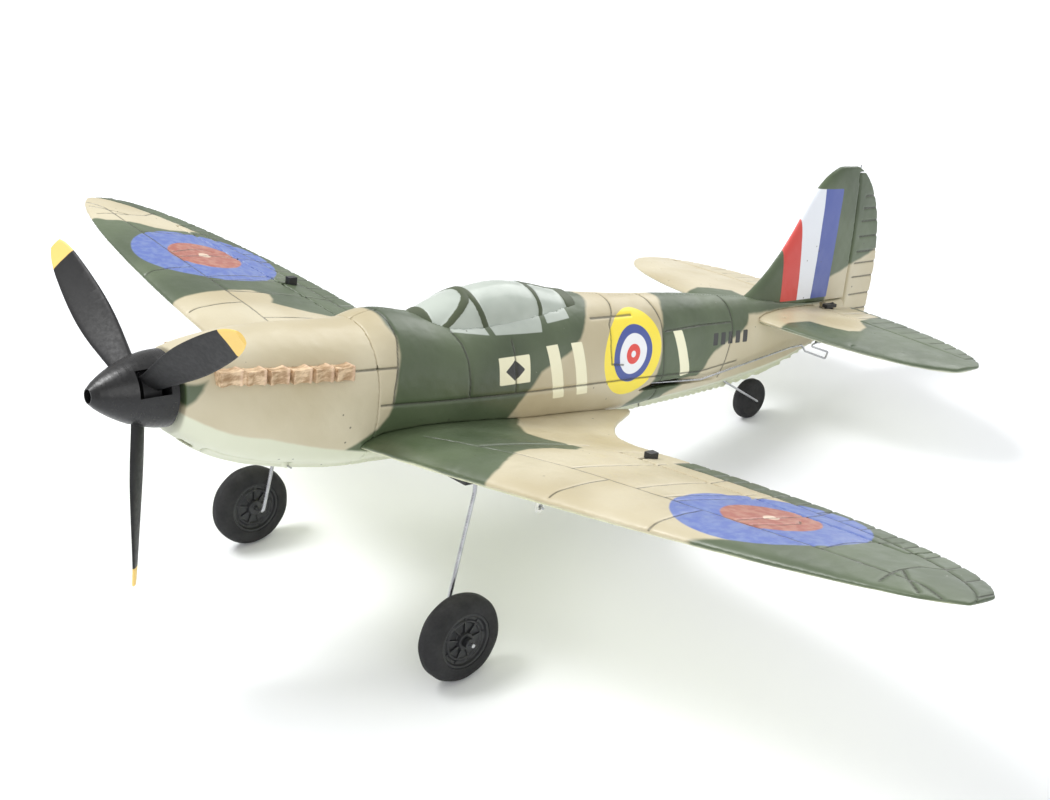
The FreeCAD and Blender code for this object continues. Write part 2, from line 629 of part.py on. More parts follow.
def build_tail_drives():
    """Elevator and rudder servos, arms, rods and horns."""
    for name, sign in (("elevator", 1), ("rudder", -1)):
        centre = V(sign * 3.6, 166, -5)
        frame = axes(centre) if sign > 0 else axes(centre, (-1, 0, 0))
        subpart(name + "_servo", servo_block(name + "_servo", frame))
        pivot = V(sign * dim("tail_arm_x"), 169.5 if sign < 0 else 162.5, -5)
        arm_frame = axes(pivot, (0, 1, 0), (1, 0, 0))
        subpart(name + "_arm", control_arm(name + "_arm", "tail_arm_length", arm_frame))
    z = dim("stab_z")
    x = 6.9
    horn_frame = axes((x, dim("elevator_hinge"), z), (0, 1, 0), (1, 0, 0))
    blade = plate("elevator_horn_blade",
                  [("0.9", "2"), ("4.8", "3.6"), ("4.8", "-1.6"), ("1.5", "-elevator_arm - 1.2"),
                   ("-1.4", "-elevator_arm - 1.2"), ("-1.4", "-elevator_arm + 1")], "horn_thick", horn_frame)
    eye = cylinder("elevator_horn_eye", "rod_hole", 6,
                   (x - 3, dim("elevator_hinge"), z - dim("elevator_arm")), (1, 0, 0))
    cap = box("elevator_horn_cap", (2.4, 5.4, 1.2), (x, dim("elevator_hinge") + 3, z + 2.5))
    subpart("elevator_horn", cut("elevator_horn", fuse("elevator_horn_solid", blade, cap), eye))
    hinge_y = dim("rudder_hinge") + dim("rudder_lean") * 6
    reach = dim("rudder_arm")
    rudder_frame = axes((0, hinge_y, -6), (1, 0, 0), (0, 0, 1))
    blade = plate("rudder_horn_blade",
                  [("2.6", "1"), ("2.6", "4.8"), ("-2.6", "4.8"), ("-rudder_arm - 1.3", "1.3"),
                   ("-rudder_arm - 1.3", "-1.3"), ("-rudder_arm + 1", "-1.3"), ("-2.2", "1")],
                  "horn_thick", rudder_frame)
    eye = cylinder("rudder_horn_eye", "rod_hole", 6, (-reach, hinge_y, -9), (0, 0, 1))
    subpart("rudder_horn", cut("rudder_horn", blade, eye))
    drop = -5 - dim("tail_arm_length")
    horn = V(x, dim("elevator_hinge"), z - dim("elevator_arm"))
    route = [(9.6, 162.5, drop), (7.05, 162.5, drop), (7.05, 172, drop), (9.7, 219, -16.9), (8.4, 267, -10.5),
             (8.4, 273, -10.2), (8.4, 275.6, -12.8), (8.4, 288.4, -16.9), (8.4, 289.4, -14.4),
             (8.4, 277.6, -10.9), (8.4, horn.y, horn.z), (5.6, horn.y, horn.z)]
    subpart("elevator_rod", bent_wire("elevator_rod", dim("rod_radius"), route, 0.5))
    route = [(-9.6, 169.5, drop), (-7.05, 169.5, drop), (-7.05, 178, drop), (-9.7, 219, -16.9),
             (-reach, 267, -10.5), (-reach, 296, -8.4), (-reach, hinge_y, -8.2), (-reach, hinge_y, -4.4)]
    subpart("rudder_rod", bent_wire("rudder_rod", dim("rod_radius"), route, 0.5))


# ---------------------------------------------------------------- propulsion


def gear_wheel(name, teeth, front, centre, bore, phase):
    """A spur gear along Y with straight-flanked teeth."""
    pitch_radius = dim("gear_module") * size(teeth) / 2
    root, tip = pitch_radius - 1.15 * dim("gear_module"), pitch_radius + 0.8 * dim("gear_module")
    count = int(size(teeth))
    step = 2 * math.pi / count
    corners = []
    for k in range(count):
        for radius, share in ((root, -0.30), (tip, -0.11), (tip, 0.11), (root, 0.30)):
            angle = phase + step * (k + share)
            across, up = radius * math.sin(angle), radius * math.cos(angle)
            corners.append(V(centre[0] + across, front, centre[1] + up))
    blank = Part.Face(Part.makePolygon(corners + corners[:1])).extrude(V(0, dim("gear_face"), 0))
    if bore:
        hole = Part.makeCylinder(bore, 10, V(centre[0], front - 3, centre[1]), V(0, 1, 0))
        blank = blank.cut(hole)
    return feature(name, blank)


def gear_centre_distance():
    return dim("gear_module") * (dim("spur_teeth") + dim("pinion_teeth")) / 2


# radius from the shaft, chord, pitch angle
BLADE = [(7, 6.4, 52), (13, 7.4, 49), (21, 9.4, 45), (30, 10.4, 40), (39, 9.8, 35), (46, 8.6, 31),
         (51, 6.8, 28), (54.4, 3.8, 27)]


def blade_rib(radius, chord, pitch):
    """Lens-shaped section of a blade that points down and pulls toward the nose."""
    thick = 1.1 + 1.6 * (1 - radius / dim("blade_tip"))
    turn = math.radians(pitch)
    points = []
    for k in range(16):
        angle = 2 * math.pi * k / 16
        u = chord / 2 * math.cos(angle) + 0.06 * chord
        w = thick / 2 * math.sin(angle) + 0.05 * chord * math.sin(angle) ** 2
        points.append((u * math.cos(turn) + w * math.sin(turn),
                       dim("prop_plane") - u * math.sin(turn) + w * math.cos(turn), -radius))
    return smooth_wire(points)


def build_propulsion():
    blade = loft("blade", [blade_rib(*row) for row in BLADE])
    hub = cylinder("prop_hub", 7.4, 5, (0, dim("prop_plane") - 2.5, 0), (0, 1, 0))
    blades = [blade]
    for turn in (120, 240):
        spun = doc.addObject("Part::Feature", "blade_%d" % turn)
        doc.recompute()
        copy = blade.Shape.copy()
        copy.rotate(V(0, 0, 0), V(0, 1, 0), turn)
        spun.Shape = copy
        blades.append(spun)
    shaft_bore = cylinder("prop_bore", "shaft_radius", 30, (0, 2, 0), (0, 1, 0))
    solid = fuse("prop_solid", hub, *blades)
    subpart("propeller", cut("propeller", solid, shaft_bore))
    profile = []
    for k in range(13):
        share = 0.2 + 0.8 * math.sin(math.pi / 2 * k / 12) ** 0.82
        profile.append(("spinner_length * %d / 12" % k, "spinner_radius * %.4f" % share))
    outline = [("0", "0")] + profile + [("spinner_length", "0")]
    cone = turned("spinner_cone", outline, (0, 0, 0), (0, 1, 0))
    inside = turned("spinner_inside", [("5", "0"), ("5", "2.4"), ("9", "5.2"), ("12", "7.6"), ("19", "8.8"),
                                       ("19", "0")], (0, 0, 0), (0, 1, 0))
    nose_hole = cylinder("spinner_nose_hole", "screw_radius - 0.2", 8, (0, -1, 0), (0, 1, 0))
    back_hole = cylinder("spinner_back_hole", "shaft_radius", 8, (0, 16, 0), (0, 1, 0))
    slots = []
    for k in range(3):
        angle = math.radians(270 + 120 * k)
        out = V(math.cos(angle), 0, math.sin(angle))
        slot = box("spinner_slot_%d" % k, (7.4, 7.8, 12), (0, 0, 8),
                   FreeCAD.Placement(V(0, dim("prop_plane"), 0), FreeCAD.Rotation(V(0, 0, 1), out)))
        slots.append(slot)
    subpart("spinner", cut("spinner", cone, inside, nose_hole, back_hole, *slots))
    subpart("prop_shaft", cylinder("prop_shaft", "shaft_radius", "shaft_rear - shaft_front",
                                   (0, dim("shaft_front"), 0), (0, 1, 0)))
    head = cylinder("nut_blank", "screw_radius", 1.4, (0, 9.2, 0), (0, 1, 0))
    bore = cylinder("nut_bore", "shaft_radius", 6, (0, 8, 0), (0, 1, 0))
    subpart("prop_nut", cut("prop_nut", head, bore))
    offset = -gear_centre_distance()
    front = dim("gear_front")
    subpart("spur_gear", gear_wheel("spur_gear", "spur_teeth", front, (0, 0), dim("shaft_radius"), 0))
    teeth = size("pinion_teeth")
    pinion = gear_wheel("pinion_teeth_ring", "pinion_teeth", front, (0, offset), 0, math.pi / teeth)
    motor_shaft = cylinder("motor_shaft", 0.5, 10, (0, front - 0.5, offset), (0, 1, 0))
    subpart("motor_pinion", fuse("motor_pinion", pinion, motor_shaft))
    can = cylinder("motor_can", "motor_radius", "motor_length", (0, dim("motor_front"), offset), (0, 1, 0))
    shaft_room = cylinder("motor_shaft_room", 0.58, 7, (0, dim("motor_front") - 1, offset), (0, 1, 0))
    subpart("motor", cut("motor", can, shaft_room))
    bushes = []
    for k, front in enumerate((23.8, 31.5)):
        tube = cylinder("bush_tube_%d" % k, "bush_radius", "bush_length", (0, front, 0), (0, 1, 0))
        hole = cylinder("bush_hole_%d" % k, "shaft_radius + 0.04", 8, (0, front - 2, 0), (0, 1, 0))
        bushes.append(cut("bush_%d" % k, tube, hole))
    subpart("shaft_bushes", group("shaft_bushes", *bushes))
    build_gearbox(offset)


def build_gearbox(offset):
    """Plastic frame that holds both shaft bushes and clamps the motor can."""
    front = box("frame_front", (11.2, 0.8, 13.2), (0, 25.75, -2.6))
    rear = box("frame_rear", (10, "frame_thick", 17), (0, 32.7, -4.5))
    webs = [box("frame_web_%d" % k, (1.2, 8.35, 1.6), (x, 29.5, -8.4)) for k, x in enumerate((-5, 5))]
    clamp = cylinder("motor_clamp", "motor_radius + 1.2", 8, (0, 31.7, offset), (0, 1, 0))
    solid = fuse("frame_solid", front, rear, clamp, *webs)
    front_bore = cylinder("frame_bore", "bush_radius", 30, (0, 18, 0), (0, 1, 0))
    motor_bore = cylinder("frame_motor_bore", "motor_radius", 40, (0, 18, offset), (0, 1, 0))
    subpart("gearbox_frame", cut("gearbox_frame", solid, front_bore, motor_bore))


# ---------------------------------------------------------------- power, radio and hatch


def build_electronics():
    cell = box("battery_cell", ("battery_wide", "battery_long", "battery_tall"), (0, 84, -17.5))
    rounded = doc.addObject("Part::Fillet", "battery")
    rounded.Base = cell
    doc.recompute()
    rounded.Edges = [(i, 1.5, 1.5) for i in range(1, 13)]
    subpart("battery", rounded)
    board = box("board_plate", ("board_wide", "board_long", "board_thick"), (0, 130, -6))
    chips = [box("chip_%d" % k, (5, 6, 1.4), (dx, 130 + dy, -4.7))
             for k, (dx, dy) in enumerate(((-4, -5), (5, -8), (-1, 3.5), (4.5, 11.5)))]
    socket = box("board_socket", (8, 5, 4), (-3, 118, -3.4))
    subpart("receiver_board", fuse("receiver_board", board, socket, *chips))
    post_pad = box("board_tray_pad", (16, 34, 1.6), (0, 130, -7.4))
    legs = [box("tray_leg_%d" % k, (1.6, 34, 3), (sx, 130, -9.7)) for k, sx in enumerate((-7.2, 7.2))]
    subpart("board_tray", fuse("board_tray", post_pad, *legs))


def build_hatch(skin, cavity, door, knuckle):
    panel_solid = common("hatch_panel", skin, door)
    panel = cut("hatch_shell", panel_solid, cavity)
    pin_bore = cylinder("hatch_bore", "pin_radius + pin_clearance", 40, hatch_pin_start(20), (1, 0, 0))
    inner_z = between(FUSELAGE, 34)[2] + dim("shell_wall")
    spot = (0, 34, inner_z - dim("magnet_thick") - 0.2)
    seat = cylinder("hatch_magnet_seat", "magnet_radius", "magnet_thick", spot)
    subpart("battery_hatch", cut("battery_hatch", fuse("hatch_solid", panel, knuckle), pin_bore, seat))
    subpart("hatch_magnet", cylinder("hatch_magnet", "magnet_radius", "magnet_thick", spot))
    return cylinder("hatch_pin", "pin_radius", "hatch_half * 2 + 3", hatch_pin_start(dim("hatch_half") + 1.5),
                    (1, 0, 0))


# ---------------------------------------------------------------- undercarriage


def gear_block_centre(sign):
    x = dim("strut_x") - 0.6
    under = wing_surface(x, 0.2, False).z
    return (sign * x, dim("strut_y"), under + 2.6)


def build_undercarriage():
    collars = []
    for side, sign in (("left", 1), ("right", -1)):
        centre = gear_block_centre(sign)
        block = box("gear_block_solid_" + side, (9, 14, 6), centre)
        x, outer = sign * dim("strut_x"), sign * (dim("wheel_x") + dim("wheel_width") / 2 + 3)
        route = [(x, dim("strut_y"), dim("strut_top")), (x, dim("strut_y"), -24),
                 (x, dim("wheel_y"), dim("wheel_z")), (outer, dim("wheel_y"), dim("wheel_z"))]
        wire = bent_wire("gear_route_" + side, dim("axle_radius"), route, 1.4)
        subpart("gear_block_" + side, cut("gear_block_" + side, block, wire))
        subpart("gear_wire_" + side, group("gear_wire_" + side, wire))
        build_wheel(side, sign)
        ring = [("0", "axle_radius"), ("0", "collar_radius"), ("collar_width", "collar_radius"),
                ("collar_width", "axle_radius")]
        outside = sign * (dim("wheel_x") + dim("wheel_width") / 2 + 0.4)
        collar = turned("collar_" + side, ring, (outside, dim("wheel_y"), dim("wheel_z")), (sign, 0, 0))
        collars.append(collar)
    subpart("wheel_collars", group("wheel_collars", *collars))
    route = [(2, 233, -18.5), (4.4, 240, -22.4), (4.4, dim("tail_y"), dim("tail_z")),
             (-4.6, dim("tail_y"), dim("tail_z"))]
    wire = bent_wire("tail_wire", dim("tail_axle_radius"), route, 1)
    subpart("tail_wire", wire)
    tail = turned("tail_wheel", [("-tail_wheel_width / 2", "tail_axle_radius + axle_clearance"),
                                 ("-tail_wheel_width / 2", "tail_wheel_radius - 1.6"),
                                 ("-tail_wheel_width / 2 + 0.7", "tail_wheel_radius - 0.4"),
                                 ("-tail_wheel_width / 2 + 1.6", "tail_wheel_radius"),
                                 ("tail_wheel_width / 2 - 1.6", "tail_wheel_radius"),
                                 ("tail_wheel_width / 2 - 0.7", "tail_wheel_radius - 0.4"),
                                 ("tail_wheel_width / 2", "tail_wheel_radius - 1.6"),
                                 ("tail_wheel_width / 2", "tail_axle_radius + axle_clearance")],
                  (0, dim("tail_y"), dim("tail_z")), (1, 0, 0))
    subpart("tail_wheel", tail)
    return wire


def mirrored(half_outline):
    """Outline of a wheel piece from (depth from the face, radius) down to its middle."""
    width = "wheel_width / 2"
    near = [("-%s + %s" % (width, depth), radius) for depth, radius in half_outline]
    far = [("%s - %s" % (width, depth), radius) for depth, radius in reversed(half_outline)]
    return near + far


def build_wheel(side, sign):
    centre = (sign * dim("wheel_x"), dim("wheel_y"), dim("wheel_z"))
    tyre = mirrored([("0", "hub_radius"), ("0", "wheel_radius - 3"), ("1.2", "wheel_radius - 0.9"),
                     ("2.2", "wheel_radius")])
    subpart("tyre_" + side, turned("tyre_" + side, tyre, centre, (sign, 0, 0)))
    hub = mirrored([("0", "axle_radius + axle_clearance"), ("0", "2.4"), ("1.4", "2.8"),
                    ("1.4", "hub_radius - 1.2"), ("0.4", "hub_radius")])
    subpart("hub_" + side, turned("hub_" + side, hub, centre, (sign, 0, 0)))


def build_exhausts():
    """Six stubs a side, standing proud of the cowl."""
    stubs = []
    for sign in (1, -1):
        for k in range(6):
            station = 30.5 + 6.6 * k
            half_width = between(FUSELAGE, station + 2)[0]
            block = box("exhaust_%d_%d" % (sign, k), (4.6, 5.6 if k else 7, 4),
                        (sign * (half_width - 0.9), station + 2, 5.4 - 0.28 * k))
            stubs.append(block)
    return stubs


# ---------------------------------------------------------------- assembly


def build_all():
    shells = build_fuselage()
    skin, cowl_losses, door, knuckle = build_cowl()
    pins = build_wing(shells, cowl_losses)
    subpart("nose_cowl", cut("nose_cowl", skin, *cowl_losses))
    build_spars()
    pins += build_tailplane(shells)
    pins.append(build_fin(shells))
    finish_shells(shells)
    build_tail_drives()
    build_propulsion()
    build_electronics()
    pins.append(build_hatch(skin, cowl_losses[0], door, knuckle))
    build_undercarriage()
    stubs = build_exhausts()
    trimmed = [cut(stub.Name + "_trimmed", stub, skin) for stub in stubs]
    subpart("exhaust_stacks", group("exhaust_stacks", *trimmed))
    subpart("hinge_pins", group("hinge_pins", *pins))


def stance(shift):
    tip = FreeCAD.Rotation(V(1, 0, 0), -dim("nose_up_angle"))
    return FreeCAD.Placement(V(0, shift, dim("thrust_line_height")), tip)


def centre_shift():
    """How far the tipped airframe moves along Y to centre its length on the origin."""
    tilt = math.radians(dim("nose_up_angle"))
    tip = [(0, 0.21 * dim("spinner_radius")), (0, -0.21 * dim("spinner_radius"))]
    rear = [(row[2], row[0]) for row in FIN]
    along = [y * math.cos(tilt) + z * math.sin(tilt) for y, z in tip + rear]
    return -(min(along) + max(along)) / 2


def failed(obj):
    return any(state in ("Invalid", "Error") for state in obj.State)


build_all()
doc.recompute()
placement = stance(centre_shift())
for piece in finished:
    piece.Placement = placement.multiply(piece.Placement)
doc.recompute()
broken = [obj.Label for obj in doc.Objects if failed(obj)]
if broken:
    raise RuntimeError("objects that failed: " + ", ".join(broken))
names = [piece.Label for piece in finished]
if len(set(names)) != len(names) or len(names) > 60:
    raise RuntimeError("labels must be unique and at most 60")
for piece in finished:
    if piece.Shape.isNull() or not piece.Shape.isValid() or not piece.Shape.Solids:
        raise RuntimeError("%s has no valid solid" % piece.Label)
os.makedirs("parts", exist_ok=True)
for piece in finished:
    piece.Shape.exportStep("parts/%s.step" % piece.Label)
    print("%-24s solids %2d volume %9.1f" % (piece.Label, len(piece.Shape.Solids), piece.Shape.Volume))
print(len(names), "sub-parts")
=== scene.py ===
import json
import math

import bmesh
import bpy
import numpy as np
from mathutils import Matrix, Vector


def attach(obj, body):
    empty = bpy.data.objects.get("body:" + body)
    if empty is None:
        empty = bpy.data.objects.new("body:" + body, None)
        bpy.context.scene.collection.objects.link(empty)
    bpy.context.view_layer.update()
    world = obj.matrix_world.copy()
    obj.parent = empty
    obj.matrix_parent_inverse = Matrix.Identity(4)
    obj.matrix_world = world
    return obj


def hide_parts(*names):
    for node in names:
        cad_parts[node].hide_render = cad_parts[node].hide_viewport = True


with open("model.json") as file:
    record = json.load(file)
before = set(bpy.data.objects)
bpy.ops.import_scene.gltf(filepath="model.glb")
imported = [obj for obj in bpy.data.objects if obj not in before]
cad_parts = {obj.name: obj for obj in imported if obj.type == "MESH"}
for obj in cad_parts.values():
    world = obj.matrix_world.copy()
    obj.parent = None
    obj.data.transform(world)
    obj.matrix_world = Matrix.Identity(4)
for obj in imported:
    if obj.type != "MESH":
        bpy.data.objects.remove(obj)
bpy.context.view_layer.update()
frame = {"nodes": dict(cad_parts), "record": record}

# Airframe millimetres (X to port, Y aft from the spinner tip, Z up from the thrust line)
# against the frame's metres: the same stance as the CAD model has.
NOSE_UP = math.radians(12.18)
ORIGIN_Y, ORIGIN_Z = -157.845, 92.66
FAR = 60.0          # a distance that stands for "nowhere near" in the paint fields

BODY_OF = {node: body for body, nodes in frame["record"]["behaviour"]["bodies"].items() for node in nodes}


def to_airframe(points):
    """Rows of frame metres as airframe millimetres."""
    y, z = points[:, 1] * 1000 - ORIGIN_Y, points[:, 2] * 1000 - ORIGIN_Z
    c, s = math.cos(NOSE_UP), math.sin(NOSE_UP)
    return np.stack([points[:, 0] * 1000, y * c - z * s, y * s + z * c], 1)


def to_frame(points):
    """Rows of airframe millimetres as frame metres."""
    x, y, z = np.asarray(points, float).T
    c, s = math.cos(NOSE_UP), math.sin(NOSE_UP)
    return np.stack([x, y * c + z * s + ORIGIN_Y, -y * s + z * c + ORIGIN_Z], 1) / 1000


# ---------------------------------------------------------------- paint fields

def to_polyline(points, line):
    """Distance from each 2-D point to an open polyline."""
    nearest = np.full(len(points), FAR)
    line = np.asarray(line, float)
    for a, b in zip(line, line[1:]):
        run = b - a
        share = np.clip((points - a) @ run / (run @ run), 0, 1)
        nearest = np.minimum(nearest, np.hypot(*(points - a - share[:, None] * run).T))
    return nearest


def in_polygon(points, corners):
    """Signed distance to a closed polygon, positive inside."""
    corners = np.asarray(corners, float)
    inside = np.zeros(len(points), bool)
    for a, b in zip(corners, np.roll(corners, -1, 0)):
        crosses = (a[1] > points[:, 1]) != (b[1] > points[:, 1])
        rise = b[1] - a[1] if abs(b[1] - a[1]) > 1e-9 else 1e-9
        inside ^= crosses & (points[:, 0] < (b[0] - a[0]) * (points[:, 1] - a[1]) / rise + a[0])
    return np.where(inside, 1, -1) * to_polyline(points, np.vstack([corners, corners[:1]]))


def nearest_of(points, lines):
    found = np.full(len(points), FAR)
    for line in lines:
        found = np.minimum(found, to_polyline(points, line))
    return found


def most(points, polygons):
    found = np.full(len(points), -FAR)
    for corners in polygons:
        found = np.maximum(found, in_polygon(points, corners))
    return found


def wobble(points, size, seed):
    """Smooth noise from -1 to 1, from a seeded sum of waves in every direction."""
    rng = np.random.default_rng(seed)
    total = np.zeros(len(points))
    for _ in range(14):
        way = rng.normal(size=3)
        way *= 2 * math.pi / (size * rng.uniform(0.6, 1.6) * np.linalg.norm(way))
        total += np.sin(points @ way + rng.uniform(0, 6.283))
    return total / 14 * 1.9


# ---------------------------------------------------------------- the airframe's own shape

ROOT_CHORD, HALF_SPAN = 76.0, 200.0


def wing_middle(points):
    """Height of the wing's chord surface and its trailing edge, under each point."""
    share = np.clip(np.abs(points[:, 0]) / HALF_SPAN, 0, 0.9999)
    chord = ROOT_CHORD * np.sqrt(1 - share ** 2)
    lead = 102.3 - 0.36 * chord
    flare = np.minimum(np.maximum(0, (52 - np.abs(points[:, 0])) / 40) ** 2.3 * 36, 34)
    drop = (np.minimum(points[:, 1] - lead, chord * 0.8) - chord / 4) * math.tan(math.radians(3.5))
    return -22.4 + 26.35 * share - drop, lead + chord + flare


# ---------------------------------------------------------------- paint and panel lines

# Wing panel lines, (distance from the centre line, aft)
WING_LINES = [
    [(26, 88), (44, 92.5), (57, 96.3), (70, 98.2), (84, 99), (130, 99), (185, 99), (193, 96)],
    [(98.5, 99), (98, 110), (97.3, 120), (97, 131), (94.8, 139)],
    [(108.3, 99), (109.2, 107), (110.6, 117), (111.4, 131)],
    [(112, 99), (114.3, 113), (115.3, 126), (114.6, 138)],
    [(131.8, 100), (133.8, 114), (134, 127), (132, 136)],
    [(136.6, 100), (139.3, 108), (139.8, 114), (137.8, 116.5)],
    [(157.8, 99), (156.6, 111), (158, 119), (160.5, 128)],
    [(178.8, 93), (176.7, 103), (177, 111), (181.5, 117)],
    [(177, 104), (182, 99), (188, 94.5)],
    [(75, 99), (75.6, 118), (74.2, 136)],
    [(44, 92.5), (47, 112), (49, 130)],
    [(88, 79), (88.6, 99)],
    [(121, 80), (121.5, 99)],
]
WING_GREEN_PORT = [
    [(0, 60), (67, 60), (66, 78), (64, 83), (60, 89), (54.5, 96.6), (52.8, 103.4), (53.2, 112),
     (55.5, 118.6), (52.6, 124), (46.4, 122.4), (41, 119.6), (34, 119), (23, 125), (16, 132), (0, 136)],
    [(118, 66), (126, 78.5), (132, 81.7), (139, 85.4), (147, 91), (151.6, 99), (153, 112), (150, 124),
     (147, 134), (144, 150), (215, 150), (215, 50)],
]
WING_GREEN_STARBOARD = [
    [(180, 70), (175.5, 90), (171, 92.5), (169.4, 98), (166.4, 103.4), (162, 107), (160, 112), (161, 120),
     (161, 127), (156, 134), (155, 160), (60, 160), (71, 135), (78.6, 127), (82.2, 118), (85.6, 112.6),
     (88, 109.8), (91.6, 112.4), (95.8, 113.6), (99.4, 108.6), (99.2, 100), (98.2, 91), (97.4, 82),
     (99, 66)],
    [(0, 60), (26, 60), (34, 86), (30, 112), (14, 132), (0, 136)],
]
# Fuselage lines and paint edges, (aft, height)
SIDE_LINES = [
    [(79, -7), (84.5, -7.3), (96, -7.9), (110.6, -8.4), (130, -9.3), (148, -10.1), (166, -10.8),
     (186, -11.8), (197, -12.6), (218, -14), (238, -12.6)],
    [(107.2, 10.2), (109, 7), (110, 3), (110.4, -4), (110.3, -8.4)],
    [(127.4, 6.6), (127.9, 1), (128.3, -5), (128.7, -9.3)],
    [(192, 14), (193.4, 10), (194.7, 6), (195.2, 1), (196.2, -5), (197.4, -11.3), (197, -19), (195, -27)],
    [(174.4, 16), (173.8, 12.6), (172.4, 10.4), (169.6, 7.4), (169.4, 0), (170.4, -5.2), (176, -6)],
    [(230.6, 12), (232, 7), (233, 2), (233.2, -2), (231.6, -9), (230, -18)],
    [(161.7, 9.8), (176, 9.2), (181, 9)],
    [(196.4, 2.6), (215, 2.6), (232, 1.9)],
    [(70.6, 3.5), (78, 3.35), (84.6, 3.2)],
    [(86, 16), (86.2, 10.6), (85.2, 7), (84.5, 2.4), (83.4, -3), (83.2, -7.3)],
]
COWL_TAN = [(0, 40), (84, 40), (84.6, 13.6), (86.2, 11), (85.8, 7.4), (84.8, 2.4), (83.9, -2.9), (83.3, -7),
            (81.8, -10.6), (78.9, -13.7), (74.3, -16.9), (69, -20.6), (60, -40), (0, -40)]
NOSE_GREEN = [(10, 4), (24, 3.8), (27.4, 4.6), (25.9, 2.2), (24.1, 0.1), (21.4, -2.2), (10, -5)]
MIDDLE_TAN = [(165, 40), (164, 14.6), (160.8, 12), (157.8, 8.3), (155.4, 4.8), (151, 1.3), (144.4, -1.2),
              (138.6, -3.8), (135.7, -7.4), (132.6, -10.3), (130.6, -12.6), (128, -17), (124, -40),
              (176, -40), (183.5, -21), (190.3, -17), (193.6, -12.9), (194.8, -6.8), (194.8, 0),
              (195.6, 6), (197.2, 10.4), (201, 14), (204, 40)]
TAIL_TAN = [(243, 3.2), (241.4, 0), (237.5, -2.4), (230.8, -4.4), (224.6, -7), (221, -10.1), (219, -13.6),
            (215.8, -16.4), (209.8, -18.3), (202, -20.4), (196, -40), (330, -40), (330, 3.2)]
BELLY_EDGE = [(18, -3.2), (20, -3.6), (24.1, -5.9), (29.6, -8.8), (35.3, -11), (39.5, -12.2), (45.4, -13.2),
              (54.7, -16.1), (63, -18.4), (72, -20.2), (80, -22), (100, -24.5), (180, -25), (205, -21.6),
              (230, -19.9), (260, -16.6), (306, -9.3)]
# Two slanted bars ahead of the roundel and one behind it, and the small plate under the cockpit
BARS = [[(140.4, 3.9), (145.2, 4), (150, -13.3), (145.2, -13.2)],
        [(151, 3.8), (155.8, 3.7), (160.6, -13.5), (155.8, -13.4)],
        [(200.4, 2.2), (205, 2.1), (212, -13.9), (207.2, -14.2)]]
PLATE = [(121.2, 2.2), (133.4, 2.3), (134, -6.2), (121.6, -6)]
PLATE_SIGN = [(127.6, 1.2), (131.6, -2), (127.8, -5.2), (123.8, -2)]
DASH_WIDE, DASH_FALL = 2.6, 0.16
DASHES = [[(y, -0.9 - DASH_FALL * k), (y + DASH_WIDE, -0.95 - DASH_FALL * k),
           (y + DASH_WIDE, -5.3 - DASH_FALL * k), (y, -5.2 - DASH_FALL * k)]
          for k, y in enumerate((222.4, 226.6, 230.8, 235, 239.2))]
SIDE_TARGET = (180.3, -2.9)
WING_TARGET = (133.4, 110.6)
STAB_TAN_PORT = [(-2, 225), (17, 225), (17.6, 236), (17, 246), (17.2, 254), (19.6, 260.6), (27, 262.4),
                 (33.4, 265.6), (35, 270), (32, 277), (24, 284), (20, 300), (-2, 300)]
STAB_GREEN_STARBOARD = [(-2, 225), (14, 236), (29, 244), (31, 256), (22, 265), (8, 262), (-2, 258)]
STAB_PINS = ((12, 256), (30, 262), (44, 254), (58, 264), (66, 274), (38, 274))
RIB_HEIGHTS = (42, 37.4, 32.6, 26.8, 21, 16.6, 11.2, 4.4, -1.4)


# Canopy frame strips seen from the side, (aft, height)
CANOPY_FRAMES = [
    ([(104.6, 9.6), (109.5, 13.4), (114.8, 17.6), (116.4, 19.5)], 0.9),
    ([(104.8, 9.4), (112, 8.4), (120.6, 7.4), (140.6, 7)], 0.9),
    ([(116.4, 22), (117.6, 17.2), (119.3, 12.4), (121.4, 7.2)], 1.0),
    ([(138.6, 22), (141.4, 18.4), (141.8, 14), (141.3, 10.4), (140.6, 7)], 0.9),
]
# The panes' lower parts, which reach down onto the fuselage sides
PANES = [[(105.6, 10.2), (112, 9.3), (120.8, 8.3), (140.2, 7.9), (141, 16), (118, 24), (104, 16)],
         [(142.7, 10), (152.4, 10.7), (151.6, 18), (142.9, 20)]]


def frame_strips(side):
    """Distance inside the canopy's frame strips, negative outside them."""
    strip = np.full(len(side), -FAR)
    for line, half in CANOPY_FRAMES:
        strip = np.maximum(strip, half - to_polyline(side, line))
    return strip


def paint_wing(p):
    """Paint fields of the wing panels and ailerons."""
    flat = np.stack([np.abs(p[:, 0]), p[:, 1]], 1)
    middle, trail = wing_middle(p)
    green = most(flat, WING_GREEN_PORT if p[:, 0].mean() > 0 else WING_GREEN_STARBOARD)
    strip = np.minimum(p[:, 1] - (trail - 7.4), np.abs(p[:, 0]) - 73.5)
    green = np.maximum(green, strip)
    line = nearest_of(flat, WING_LINES)
    ribs = np.where(strip > 0.3, np.abs((np.abs(p[:, 0]) + 4) % 8.2 - 4.1), FAR)
    rim = np.where(strip > -2, np.abs(strip), FAR)
    line = np.minimum(line, np.minimum(ribs, rim))
    upper = p[:, 2] - middle
    ring = np.hypot(flat[:, 0] - WING_TARGET[0], flat[:, 1] - WING_TARGET[1])
    return dict(camo=-green, belly=-upper - 0.35 + 0.25 * wobble(p, 14, 4),
                line=np.where(upper > 0, line, FAR), wing_ring=np.where(upper > 0, ring, FAR))


